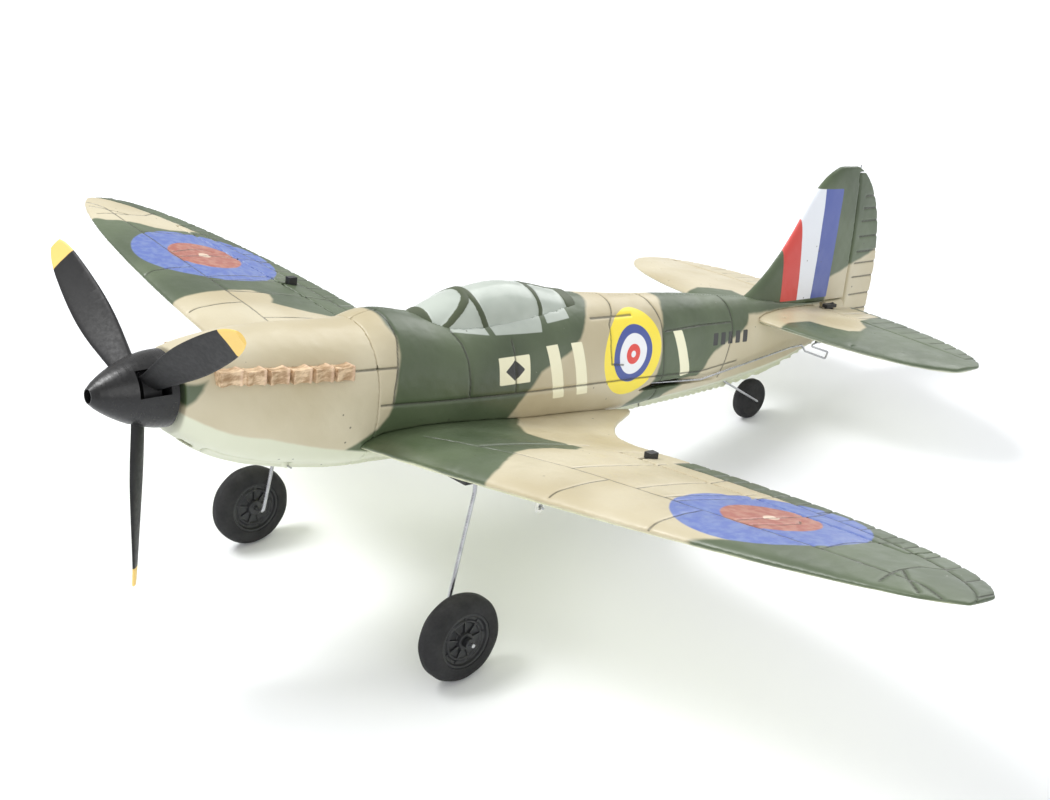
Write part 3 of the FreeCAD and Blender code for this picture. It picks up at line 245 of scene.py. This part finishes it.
def paint_side(p):
    """Paint fields of the fuselage shells, the cowl and the belly hatch."""
    side = p[:, 1:]
    camo = np.maximum(most(side, [COWL_TAN, MIDDLE_TAN, TAIL_TAN]), -FAR)
    camo = np.minimum(camo, -in_polygon(side, NOSE_GREEN))
    edge = np.array(BELLY_EDGE)
    belly = np.interp(p[:, 1], edge[:, 0], edge[:, 1]) - p[:, 2]
    outward = np.abs(p[:, 0])
    ring = np.hypot((side[:, 0] - SIDE_TARGET[0]), (side[:, 1] - SIDE_TARGET[1]))
    far_side = outward > 1.5
    line = nearest_of(side, SIDE_LINES)
    return dict(camo=camo, belly=belly, line=line,
                glass=np.minimum(most(side, PANES), -frame_strips(side)),
                side_ring=np.where(far_side, ring, FAR),
                cream=np.where(far_side, most(side, BARS + [PLATE]), -FAR),
                black=np.where(far_side, most(side, DASHES + [PLATE_SIGN]), -FAR))


def paint_tailplane(p):
    flat = np.stack([np.abs(p[:, 0]), p[:, 1]], 1)
    port = p[:, 0] > 0
    camo = np.where(port, in_polygon(flat, STAB_TAN_PORT), -in_polygon(flat, STAB_GREEN_STARBOARD))
    ribs = np.where(p[:, 1] > 286.2, np.abs((flat[:, 0] + 1.5) % 6.4 - 3.2), FAR)
    pins = nearest_of(flat, [[(x, y), (x + 0.01, y)] for x, y in STAB_PINS])
    return dict(camo=camo, belly=0.4 - p[:, 2] + 0.2 * wobble(p, 10, 6), line=np.minimum(ribs, pins))


def paint_fin(p):
    """Paint fields of the fin and rudder: three upright stripes, olive above and sand below."""
    y, z = p[:, 1], p[:, 2]
    camo = (17 + 0.32 * (y - 304)) - z
    camo = np.minimum(camo, y - 289.6)
    ribs = np.full(len(p), FAR)
    for height in RIB_HEIGHTS:
        ribs = np.minimum(ribs, np.where(y > 305, np.abs(z - height), FAR))
    stripes = np.minimum(np.minimum(y - 263.3, 290.3 - y), np.minimum(z - 5.2, 45.3 - z))
    across = y - 272.7 + 0.07 * np.maximum(z - 6, 0) * (y < 276)
    return dict(camo=camo, line=ribs, stripe=stripes, across=across)


FIELDS = dict(camo=-FAR, belly=-FAR, line=FAR, wing_ring=FAR, side_ring=FAR, cream=-FAR, black=-FAR,
              stripe=-FAR, across=0, glass=-FAR)
FOAM = {"fuselage_left": paint_side, "fuselage_right": paint_side, "nose_cowl": paint_side,
        "battery_hatch": paint_side, "wing_left": paint_wing, "wing_right": paint_wing,
        "aileron_left": paint_wing, "aileron_right": paint_wing, "stabiliser": paint_tailplane,
        "elevator_left": paint_tailplane, "elevator_right": paint_tailplane, "fin": paint_fin,
        "rudder": paint_fin}


# ---------------------------------------------------------------- materials

def srgb(r, g, b):
    """Linear colour from an 8-bit one."""
    shares = (r / 255, g / 255, b / 255)
    return tuple(c / 12.92 if c <= 0.04045 else ((c + 0.055) / 1.055) ** 2.4 for c in shares)


class Shader:
    """A small helper that builds one node material."""

    def __init__(self, name):
        self.material = bpy.data.materials.new(name)
        self.material.use_nodes = True
        self.tree = self.material.node_tree
        self.base = self.tree.nodes["Principled BSDF"]
        self.place = self.tree.nodes.new("ShaderNodeTexCoord").outputs["Object"]

    def put(self, value, socket):
        if isinstance(value, bpy.types.NodeSocket):
            self.tree.links.new(value, socket)
        elif isinstance(value, tuple):
            socket.default_value = value + (1,) if len(socket.default_value) == 4 else value
        else:
            socket.default_value = value

    def maths(self, operation, *values):
        node = self.tree.nodes.new("ShaderNodeMath")
        node.operation = operation
        for value, socket in zip(values, node.inputs):
            self.put(value, socket)
        return node.outputs[0]

    def ramp(self, value, low, high, start=0.0, end=1.0):
        node = self.tree.nodes.new("ShaderNodeMapRange")
        node.interpolation_type = "SMOOTHSTEP"
        for number, socket in zip((value, low, high, start, end), node.inputs):
            self.put(number, socket)
        return node.outputs[0]

    def mix(self, share, first, second):
        node = self.tree.nodes.new("ShaderNodeMix")
        node.data_type = "RGBA"
        self.put(share, node.inputs[0])
        self.put(first, node.inputs[6])
        self.put(second, node.inputs[7])
        return node.outputs[2]

    def noise(self, size_mm, detail=3.0, rough=0.55, stretch=None):
        node = self.tree.nodes.new("ShaderNodeTexNoise")
        node.inputs["Scale"].default_value = 1000 / size_mm
        node.inputs["Detail"].default_value = detail
        node.inputs["Roughness"].default_value = rough
        place = self.place
        if stretch:
            mapping = self.tree.nodes.new("ShaderNodeMapping")
            mapping.inputs["Scale"].default_value = stretch
            self.tree.links.new(place, mapping.inputs["Vector"])
            place = mapping.outputs[0]
        self.tree.links.new(place, node.inputs["Vector"])
        return node.outputs[0]

    def cells(self, size_mm, feature="F1"):
        node = self.tree.nodes.new("ShaderNodeTexVoronoi")
        node.feature = feature
        node.inputs["Scale"].default_value = 1000 / size_mm
        self.tree.links.new(self.place, node.inputs["Vector"])
        return node.outputs["Distance"]

    def field(self, name):
        node = self.tree.nodes.new("ShaderNodeAttribute")
        node.attribute_name = name
        return node.outputs["Fac"]

    def from_axis(self, point, axis):
        """Distance in millimetres from an axis through a point of the frame."""
        away = self.tree.nodes.new("ShaderNodeVectorMath")
        away.operation = "SUBTRACT"
        self.tree.links.new(self.place, away.inputs[0])
        away.inputs[1].default_value = point
        turn = self.tree.nodes.new("ShaderNodeVectorMath")
        turn.operation = "CROSS_PRODUCT"
        self.tree.links.new(away.outputs[0], turn.inputs[0])
        turn.inputs[1].default_value = axis
        span = self.tree.nodes.new("ShaderNodeVectorMath")
        span.operation = "LENGTH"
        self.tree.links.new(turn.outputs[0], span.inputs[0])
        return self.maths("MULTIPLY", span.outputs["Value"], 1000.0)

    def bump(self, height, distance_mm, strength=1.0, under=None):
        node = self.tree.nodes.new("ShaderNodeBump")
        node.inputs["Strength"].default_value = strength
        node.inputs["Distance"].default_value = distance_mm / 1000
        self.put(height, node.inputs["Height"])
        if under is not None:
            self.tree.links.new(under, node.inputs["Normal"])
        return node.outputs[0]

    def finish(self, colour, rough, normal, **rest):
        self.put(colour, self.base.inputs["Base Color"])
        self.put(rough, self.base.inputs["Roughness"])
        self.put(normal, self.base.inputs["Normal"])
        for name, value in rest.items():
            self.put(value, self.base.inputs[name.replace("_", " ")])
        return self.material


PALE = srgb(212, 215, 192)
EDGE_PALE = srgb(226, 228, 190)


def glazing(s, patch):
    """Grey-green painted glazing."""
    return s.mix(s.ramp(patch, 0.3, 0.7), srgb(162, 171, 162), srgb(186, 194, 185))


def foam_material(name, edge=PALE):
    s = Shader(name)
    grain = s.noise(1.6, 4)
    brush = s.noise(9, 3)
    patch = s.noise(38, 2)
    soft = s.maths("MULTIPLY", s.maths("SUBTRACT", brush, 0.5), 1.6)
    camo = s.maths("ADD", s.field("camo"), soft)
    green = s.mix(s.ramp(patch, 0.3, 0.7), srgb(62, 76, 50), srgb(86, 100, 71))
    sand = s.mix(s.ramp(patch, 0.3, 0.7), srgb(181, 169, 136), srgb(202, 193, 166))
    colour = s.mix(s.ramp(camo, -0.7, 0.7), green, sand)
    under = s.maths("ADD", s.field("belly"), s.maths("MULTIPLY", soft, 0.5))
    colour = s.mix(s.ramp(under, -0.5, 0.5), colour, edge)
    ring = s.maths("ADD", s.field("wing_ring"), s.maths("MULTIPLY", soft, 0.3))
    worn = s.ramp(s.noise(2.6, 5), 0.34, 0.62)
    blue = s.mix(worn, srgb(104, 124, 178), srgb(80, 102, 172))
    red = s.mix(worn, srgb(176, 122, 104), srgb(158, 86, 72))
    colour = s.mix(s.ramp(ring, 24.7, 25.3, 1, 0), colour, blue)
    colour = s.mix(s.ramp(ring, 12.4, 13.0, 1, 0), colour, red)
    colour = s.mix(s.ramp(ring, 1.9, 2.2, 1, 0), colour, srgb(214, 190, 168))
    ring = s.field("side_ring")
    for radius, paint in ((13.9, srgb(247, 225, 62)), (9.3, srgb(58, 78, 152)), (6.6, srgb(236, 238, 242)),
                          (3.3, srgb(222, 62, 52)), (1.1, srgb(236, 238, 242))):
        colour = s.mix(s.ramp(ring, radius - 0.12, radius + 0.12, 1, 0), colour, paint)
    colour = s.mix(s.ramp(s.field("cream"), -0.12, 0.12), colour, srgb(240, 237, 206))
    colour = s.mix(s.ramp(s.field("black"), -0.12, 0.12), colour, srgb(34, 34, 32))
    across = s.field("across")
    bands = s.mix(s.ramp(across, -0.12, 0.12), srgb(208, 66, 58), srgb(232, 236, 244))
    bands = s.mix(s.ramp(across, 7.9, 8.15), bands, srgb(76, 92, 164))
    colour = s.mix(s.ramp(s.field("stripe"), -0.12, 0.12), colour, bands)
    colour = s.mix(s.ramp(s.field("glass"), -0.15, 0.15), colour, glazing(s, patch))
    groove = s.field("line")
    # painted shade: the paint is darkened inside the pressed panel-line grooves
    groove_shade = s.ramp(s.maths("ADD", groove, s.maths("MULTIPLY", soft, 0.12)), 0.12, 0.5, 1, 0)
    colour = s.mix(s.maths("MULTIPLY", groove_shade, 0.72), colour, srgb(52, 54, 42))
    speck = s.ramp(s.cells(5.5), 0.045, 0.075, 1, 0)
    colour = s.mix(s.maths("MULTIPLY", speck, s.ramp(patch, 0.46, 0.6, 0, 0.75)), colour, srgb(60, 56, 44))
    chips = s.maths("MULTIPLY", s.ramp(s.noise(3.4, 5, 0.7), 0.70, 0.74), s.ramp(brush, 0.52, 0.6))
    colour = s.mix(chips, colour, srgb(226, 226, 214))
    normal = s.bump(s.cells(2.4, "SMOOTH_F1"), 0.10, 0.55)
    normal = s.bump(grain, 0.07, 0.5, normal)
    normal = s.bump(s.ramp(groove, 0.0, 0.42), 0.22, 0.9, normal)
    rough = s.ramp(brush, 0.25, 0.75, 0.34, 0.5)
    return s.finish(colour, rough, normal, Specular_IOR_Level=0.75)


def plain_material(name, colour, other, rough, size_mm=2.0, bump_mm=0.04, metal=0.0, stretch=None,
                   gloss=0.5, coat=0.0):
    """Moulded or drawn stock: slow colour change, fine surface grain and uneven gloss."""
    s = Shader(name)
    slow = s.noise(size_mm * 7, 3)
    fine = s.noise(size_mm, 4, 0.6, stretch)
    shade = s.mix(s.ramp(slow, 0.3, 0.7), colour, other)
    normal = s.bump(fine, bump_mm, 0.6)
    gleam = s.ramp(fine, 0.3, 0.7, rough - 0.06, rough + 0.08)
    return s.finish(shade, gleam, normal, Metallic=metal, Specular_IOR_Level=gloss, Coat_Weight=coat)


def blade_material():
    """Satin nylon blades, painted yellow outside a radius."""
    s = Shader("blade_nylon")
    hub = tuple(to_frame([(0, 14, 0)])[0])
    away = s.maths("ADD", s.from_axis(hub, axis_of((0, 1, 0))), s.maths("MULTIPLY", s.noise(6, 2), 0.5))
    fine = s.noise(1.1, 4)
    body = s.mix(s.ramp(s.noise(11, 3), 0.3, 0.7), srgb(17, 17, 18), srgb(28, 28, 29))
    colour = s.mix(s.ramp(away, 48.6, 48.9), body, srgb(240, 204, 116))
    rough = s.ramp(fine, 0.3, 0.7, 0.42, 0.54)
    return s.finish(colour, rough, s.bump(fine, 0.03, 0.5), Specular_IOR_Level=0.4)


def axis_of(way):
    """A direction of the airframe in the frame."""
    ends = to_frame([(0, 0, 0), way])
    return tuple(Vector(ends[1] - ends[0]).normalized())


# ---------------------------------------------------------------- meshes

def new_object(name, mesh):
    obj = bpy.data.objects.new(name, mesh)
    bpy.context.scene.collection.objects.link(obj)
    return obj


def applied(obj):
    """The mesh of an object with its modifiers applied; the object goes away."""
    graph = bpy.context.evaluated_depsgraph_get()
    mesh = bpy.data.meshes.new_from_object(obj.evaluated_get(graph))
    bpy.data.objects.remove(obj)
    return mesh


def moulded(node, pitch_mm, relax=3):
    """A dense, evenly meshed copy of a CAD node with slightly rounded edges, in millimetres."""
    work = bmesh.new()
    work.from_mesh(frame["nodes"][node].data)
    bmesh.ops.remove_doubles(work, verts=work.verts, dist=1e-6)
    bmesh.ops.scale(work, vec=(1000, 1000, 1000), verts=work.verts)
    mesh = bpy.data.meshes.new(node + "_mould")
    work.to_mesh(mesh)
    work.free()
    obj = new_object(node + "_mould", mesh)
    remesh = obj.modifiers.new("even", "REMESH")
    remesh.mode = "VOXEL"
    remesh.voxel_size = pitch_mm
    smooth = obj.modifiers.new("round", "SMOOTH")
    smooth.factor = 0.5
    smooth.iterations = relax
    return applied(obj)


def read(mesh, what):
    size = len(mesh.vertices)
    values = np.empty(size * 3, np.float32)
    if what == "co":
        mesh.vertices.foreach_get("co", values)
    else:
        mesh.vertex_normals.foreach_get("vector", values)
    return values.reshape(size, 3).astype(float)


def write(mesh, points, fields):
    mesh.vertices.foreach_set("co", points.astype(np.float32).ravel())
    for name, values in fields.items():
        attribute = mesh.attributes.new(name, "FLOAT", "POINT")
        attribute.data.foreach_set("value", np.asarray(values, np.float32))
    mesh.polygons.foreach_set("use_smooth", np.ones(len(mesh.polygons), bool))
    mesh.update()


def stands_for(name, mesh, material, *nodes):
    obj = new_object(name, mesh)
    mesh.materials.clear()
    mesh.materials.append(material)
    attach(obj, BODY_OF[nodes[0]])
    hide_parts(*nodes)
    return obj


def build_foam(node, paint, material):
    """A foam part with pressed panel lines, a faintly rippled skin and its paint fields."""
    pitch = 0.45
    mesh = moulded(node, pitch)
    points, normals = read(mesh, "co"), read(mesh, "normal")
    where = to_airframe(points / 1000)
    found = paint(where)
    fields = {name: found.get(name, np.full(len(where), usual, float)) for name, usual in FIELDS.items()}
    depth = 0.34 * np.exp(-(fields["line"] / 0.5) ** 2)
    ripple = 0.055 * wobble(where, 5.5, 11) + 0.05 * wobble(where, 13, 12)
    points += normals * (ripple - depth)[:, None]
    write(mesh, points / 1000, fields)
    return stands_for("foam_" + node, mesh, material, node)


def build_canopy(material):
    """Opaque glazing with raised framing, and the decking behind it."""
    mesh = moulded("canopy", 0.32, 2)
    points, normals = read(mesh, "co"), read(mesh, "normal")
    where = to_airframe(points / 1000)
    side = where[:, 1:]
    strip = frame_strips(side)
    nose = 102.8 - side[:, 0]
    rear = np.maximum(side[:, 0] - 153.6 - 0.12 * (12 - side[:, 1]),
                      np.where(side[:, 0] > 139, 9.2 - side[:, 1], -FAR))
    spine = np.where(side[:, 0] > 141, 1.0 - np.abs(where[:, 0]), -FAR)
    frames = np.maximum(np.maximum(strip, nose), np.maximum(rear, spine))
    rise = 0.42 / (1 + np.exp(-np.clip(frames * 5, -30, 30)))
    bulge = np.where((side[:, 0] > 121) & (side[:, 0] < 141),
                     0.5 * np.sin(np.clip((side[:, 0] - 121) / 20, 0, 1) * math.pi), 0)
    points += normals * (rise + bulge)[:, None]
    write(mesh, points / 1000, dict(frames=frames))
    return stands_for("canopy_skin", mesh, material, "canopy")


def canopy_material():
    s = Shader("canopy_paint")
    patch = s.noise(20, 3)
    glaze = glazing(s, patch)
    green = s.mix(s.ramp(patch, 0.3, 0.7), srgb(60, 70, 48), srgb(78, 87, 62))
    uneven = s.maths("MULTIPLY", s.maths("SUBTRACT", s.noise(1.6), 0.5), 0.5)
    edge = s.maths("ADD", s.field("frames"), uneven)
    share = s.ramp(edge, -0.1, 0.15)
    colour = s.mix(share, glaze, green)
    normal = s.bump(s.noise(0.9, 3), 0.04, 0.5)
    rough = s.ramp(edge, -0.1, 0.15, 0.24, 0.5)
    return s.finish(colour, rough, normal, Specular_IOR_Level=0.5)


def lathe(name, profile, centre, sign, steps=96, ripple=None):
    """A turned skin about X: (along, radius) in millimetres, moved by ripple(along, radius, angle)."""
    mesh = bpy.data.meshes.new(name)
    work = bmesh.new()
    rings = []
    for along, radius in profile:
        ring = []
        for k in range(steps):
            angle = 2 * math.pi * k / steps
            out = radius + (ripple(along, radius, angle) if ripple else 0)
            y, z = centre[1] + out * math.cos(angle), centre[2] + out * math.sin(angle)
            ring.append(work.verts.new(to_frame([(centre[0] + sign * along, y, z)])[0]))
        rings.append(ring)
    for first, second in zip(rings, rings[1:] + rings[:1]):
        for k in range(steps):
            nxt = (k + 1) % steps
            work.faces.new((first[k], first[nxt], second[nxt], second[k]))
    bmesh.ops.recalc_face_normals(work, faces=work.faces)
    work.to_mesh(mesh)
    work.free()
    mesh.polygons.foreach_set("use_smooth", np.ones(len(mesh.polygons), bool))
    return mesh


def arc_profile(points, rounds):
    """Corners of a closed profile, each one rounded by its own radius."""
    found = []
    count = len(points)
    for i, radius in enumerate(rounds):
        before, here, after = (Vector(points[(i + d) % count]) for d in (-1, 0, 1))
        into, out = (before - here), (after - here)
        reach = min(radius, into.length * 0.45, out.length * 0.45)
        start, end = here + into.normalized() * reach, here + out.normalized() * reach
        for k in range(5):
            t = k / 4
            found.append(tuple(start * (1 - t) ** 2 + here * 2 * t * (1 - t) + end * t * t))
    return found


SPOKES = 9
SPOKE_FACES = ((0, 1, 3, 2), (4, 6, 7, 5), (0, 2, 6, 4), (1, 5, 7, 3), (0, 4, 5, 1), (2, 3, 7, 6))


def build_wheel(side, sign, rubber, plastic):
    """Ribbed foam tyre and a spoked hub with a raised centre boss."""
    centre = (sign * 54, 83.8, -63.4)
    half = 3.5
    tyre = [(-half, 8.2), (-half, 10.2), (-half + 0.4, 11.5), (-half + 1.2, 12.4), (-half + 2.4, 13),
            (half - 2.4, 13), (half - 1.2, 12.4), (half - 0.4, 11.5), (half, 10.2), (half, 8.2)]
    outline = arc_profile(tyre, [0.3] + [0.8] * 8 + [0.3])
    ring = lathe("tyre", outline, centre, sign, 128,
                 lambda along, radius, angle: 0.05 * math.sin(9 * angle + along) if radius > 10.3 else 0)
    stands_for("tyre_%s_foam" % side, ring, rubber, "tyre_" + side)
    hub = [(-half, 0.7), (-half, 2.4), (-half + 1.4, 2.8), (-half + 1.4, 5.2), (-half + 0.9, 5.5),
           (-half + 0.9, 6), (-half + 1.4, 6.3), (-half + 1.2, 7.2), (-half + 0.3, 7.5), (-half + 0.3, 8.3),
           (half - 0.3, 8.3), (half - 0.3, 7.5), (half - 1.2, 7.2), (half - 1.4, 6.3), (half - 0.9, 6),
           (half - 0.9, 5.5), (half - 1.4, 5.2), (half - 1.4, 2.8), (half, 2.4), (half, 0.7)]
    disc = lathe("hub", arc_profile(hub, [0.1] + [0.25] * 18 + [0.1]), centre, sign, 96)
    work = bmesh.new()
    work.from_mesh(disc)
    for face in (-1, 1):
        for k in range(SPOKES):
            angle = 2 * math.pi * k / SPOKES + 0.2
            spoke = []
            for radius, rise in ((2.6, 0.1), (7.3, 0.5)):
                for across in (-0.28, 0.28):
                    for lift in (-0.6, 0.75 - rise):
                        y = radius * math.cos(angle) - across * math.sin(angle)
                        z = radius * math.sin(angle) + across * math.cos(angle)
                        x = face * (half - 1.4 + lift)
                        spoke.append(work.verts.new(to_frame([(centre[0] + sign * x, centre[1] + y,
                                                               centre[2] + z)])[0]))
            for quad in SPOKE_FACES:
                work.faces.new([spoke[i] for i in quad])
    bmesh.ops.recalc_face_normals(work, faces=work.faces)
    work.to_mesh(disc)
    work.free()
    stands_for("hub_%s_spoked" % side, disc, plastic, "hub_" + side)


def build_exhausts(material):
    """Twelve stubs with a raised collar at each outlet and brush-marked faces."""
    mesh = moulded("exhaust_stacks", 0.22, 4)
    points, normals = read(mesh, "co"), read(mesh, "normal")
    where = to_airframe(points / 1000)
    along = (where[:, 1] - 30.5 + 0.8) % 6.6
    collar = np.exp(-((along - 5.2) / 0.45) ** 2)
    waist = -0.35 * np.exp(-((along - 2.4) / 1.4) ** 2)
    points += normals * (0.26 * collar + waist + 0.05 * wobble(where, 2.2, 21))[:, None]
    write(mesh, points / 1000, dict(collar=collar))
    stands_for("exhaust_stubs", mesh, material, "exhaust_stacks")


def exhaust_material():
    s = Shader("exhaust_copper")
    brush = s.noise(1.4, 5, 0.65, (1, 0.35, 1))
    colour = s.mix(s.ramp(brush, 0.32, 0.68), srgb(160, 128, 94), srgb(228, 202, 168))
    # painted highlight: the raised collar at each outlet is tinted lighter
    colour = s.mix(s.maths("MULTIPLY", s.field("collar"), 0.45), colour, srgb(236, 204, 178))
    normal = s.bump(brush, 0.16, 0.8)
    return s.finish(colour, s.ramp(brush, 0.3, 0.7, 0.36, 0.55), normal, Metallic=0.25)


# ---------------------------------------------------------------- the model

# Moulded and drawn stock: name, two tints, roughness, grain in mm, its depth in mm, metalness
STOCK = {
    "black_spinner": ("spinner_plastic", (13, 13, 14), (23, 23, 24), 0.32, 0.8, 0.03),
    "steel": ("drawn_wire", (196, 197, 200), (170, 171, 175), 0.26, 0.5, 0.01, 1.0, (1, 1, 6)),
    "motor_case": ("turned_can", (180, 181, 184), (160, 161, 164), 0.32, 0.6, 0.01, 1.0, (1, 9, 1)),
    "brass": ("cut_brass", (214, 182, 104), (190, 156, 84), 0.3, 0.5, 0.01, 1.0),
    "black_plastic": ("black_nylon", (32, 33, 35), (46, 47, 49), 0.45, 0.9, 0.03),
    "servo_plastic": ("servo_case", (40, 62, 138), (30, 50, 118), 0.25, 0.9, 0.02, {"coat": 0.4}),
    "white_plastic": ("white_nylon", (232, 232, 228), (218, 218, 212), 0.45, 0.9, 0.02),
    "carbon": ("carbon_rod", (38, 38, 40), (54, 54, 56), 0.35, 0.5, 0.03, {"stretch": (0.3, 3, 3)}),
    "battery_wrap": ("shrink_wrap", (52, 92, 170), (40, 76, 150), 0.3, 3.0, 0.10, {"coat": 0.3}),
    "circuit_board": ("solder_mask", (38, 116, 70), (28, 94, 56), 0.35, 0.7, 0.03),
}


def build_model():
    foam = foam_material("foam_paint")
    lifting = foam_material("foam_paint_wing", EDGE_PALE)
    for node, paint in FOAM.items():
        build_foam(node, paint, lifting if paint is paint_wing else foam)
    build_canopy(canopy_material())
    rubber = plain_material("tyre_foam_rubber", srgb(34, 34, 35), srgb(46, 46, 47), 0.72, 0.9, 0.09,
                            gloss=0.3)
    hub = plain_material("hub_nylon", srgb(30, 31, 33), srgb(42, 43, 45), 0.42, 1.2, 0.03)
    for side, sign in (("left", 1), ("right", -1)):
        build_wheel(side, sign, rubber, hub)
    build_exhausts(exhaust_material())
    slots = {"black_blade": blade_material()}
    for slot, (name, *rest) in STOCK.items():
        first, second, *finish = rest
        extra = finish.pop() if isinstance(finish[-1], dict) else {}
        slots[slot] = plain_material(name, srgb(*first), srgb(*second), *finish, **extra)
    slots["wheel_rubber"] = rubber
    slots["wheel_hub"] = hub
    slot_of = {part["node"]: part["material_slot"] for part in frame["record"]["subparts"]}
    for node, obj in frame["nodes"].items():
        material = slots.get(slot_of[node])
        if material:
            for holder in obj.material_slots:
                holder.link = "OBJECT"
                holder.material = material


# ---------------------------------------------------------------- floor, light and camera

# Area lamps: name, place in metres, edge in metres, watts
LAMPS = (("key", (-0.6, -0.5, 1.3), 0.6, 15), ("fill", (1.3, -0.7, 0.8), 1.1, 6),
         ("back", (-0.3, 1.3, 1.0), 1.2, 12))


def build_studio():
    mesh = bpy.data.meshes.new("floor")
    mesh.from_pydata([(-4, -4, 0), (4, -4, 0), (4, 4, 0), (-4, 4, 0)], [], [(0, 1, 2, 3)])
    s = Shader("floor_white")
    s.finish(srgb(240, 242, 245), 0.85, s.bump(s.noise(40, 2), 0.05, 0.1))
    mesh.materials.append(s.material)
    new_object("floor", mesh)
    world = bpy.data.worlds.new("studio")
    world.use_nodes = True
    world.node_tree.nodes["Background"].inputs["Color"].default_value = (1, 1, 1, 1)
    world.node_tree.nodes["Background"].inputs["Strength"].default_value = 0.7
    bpy.context.scene.world = world
    for name, place, size, power in LAMPS:
        lamp = bpy.data.lights.new(name, "AREA")
        lamp.size = size
        lamp.energy = power
        obj = bpy.data.objects.new(name, lamp)
        obj.location = place
        obj.rotation_euler = (Vector((0, 0, 0.05)) - Vector(place)).to_track_quat("-Z", "Y").to_euler()
        bpy.context.scene.collection.objects.link(obj)


def build_camera():
    azimuth, elevation, roll = (math.radians(a) for a in (47.97, 28.33, -1.85))
    back = Vector((math.sin(azimuth) * math.cos(elevation), -math.cos(azimuth) * math.cos(elevation),
                   math.sin(elevation)))
    right = (-back).cross(Vector((0, 0, 1))).normalized()
    up = right.cross(-back)
    rolled = right * math.cos(roll) + up * math.sin(roll)
    upright = up * math.cos(roll) - right * math.sin(roll)
    lens = bpy.data.cameras.new("camera")
    lens.lens = 55.0
    lens.sensor_width = 36
    lens.shift_x, lens.shift_y = -0.0762, 0.0755
    lens.clip_start = 0.01
    camera = bpy.data.objects.new("camera", lens)
    turn = Matrix((rolled, upright, back)).transposed().to_4x4()
    camera.matrix_world = Matrix.Translation((0.3582, -0.3070, 0.2616)) @ turn
    bpy.context.scene.collection.objects.link(camera)
    bpy.context.scene.camera = camera
    bpy.context.scene.view_settings.view_transform = "Standard"


build_model()
build_studio()
build_camera()
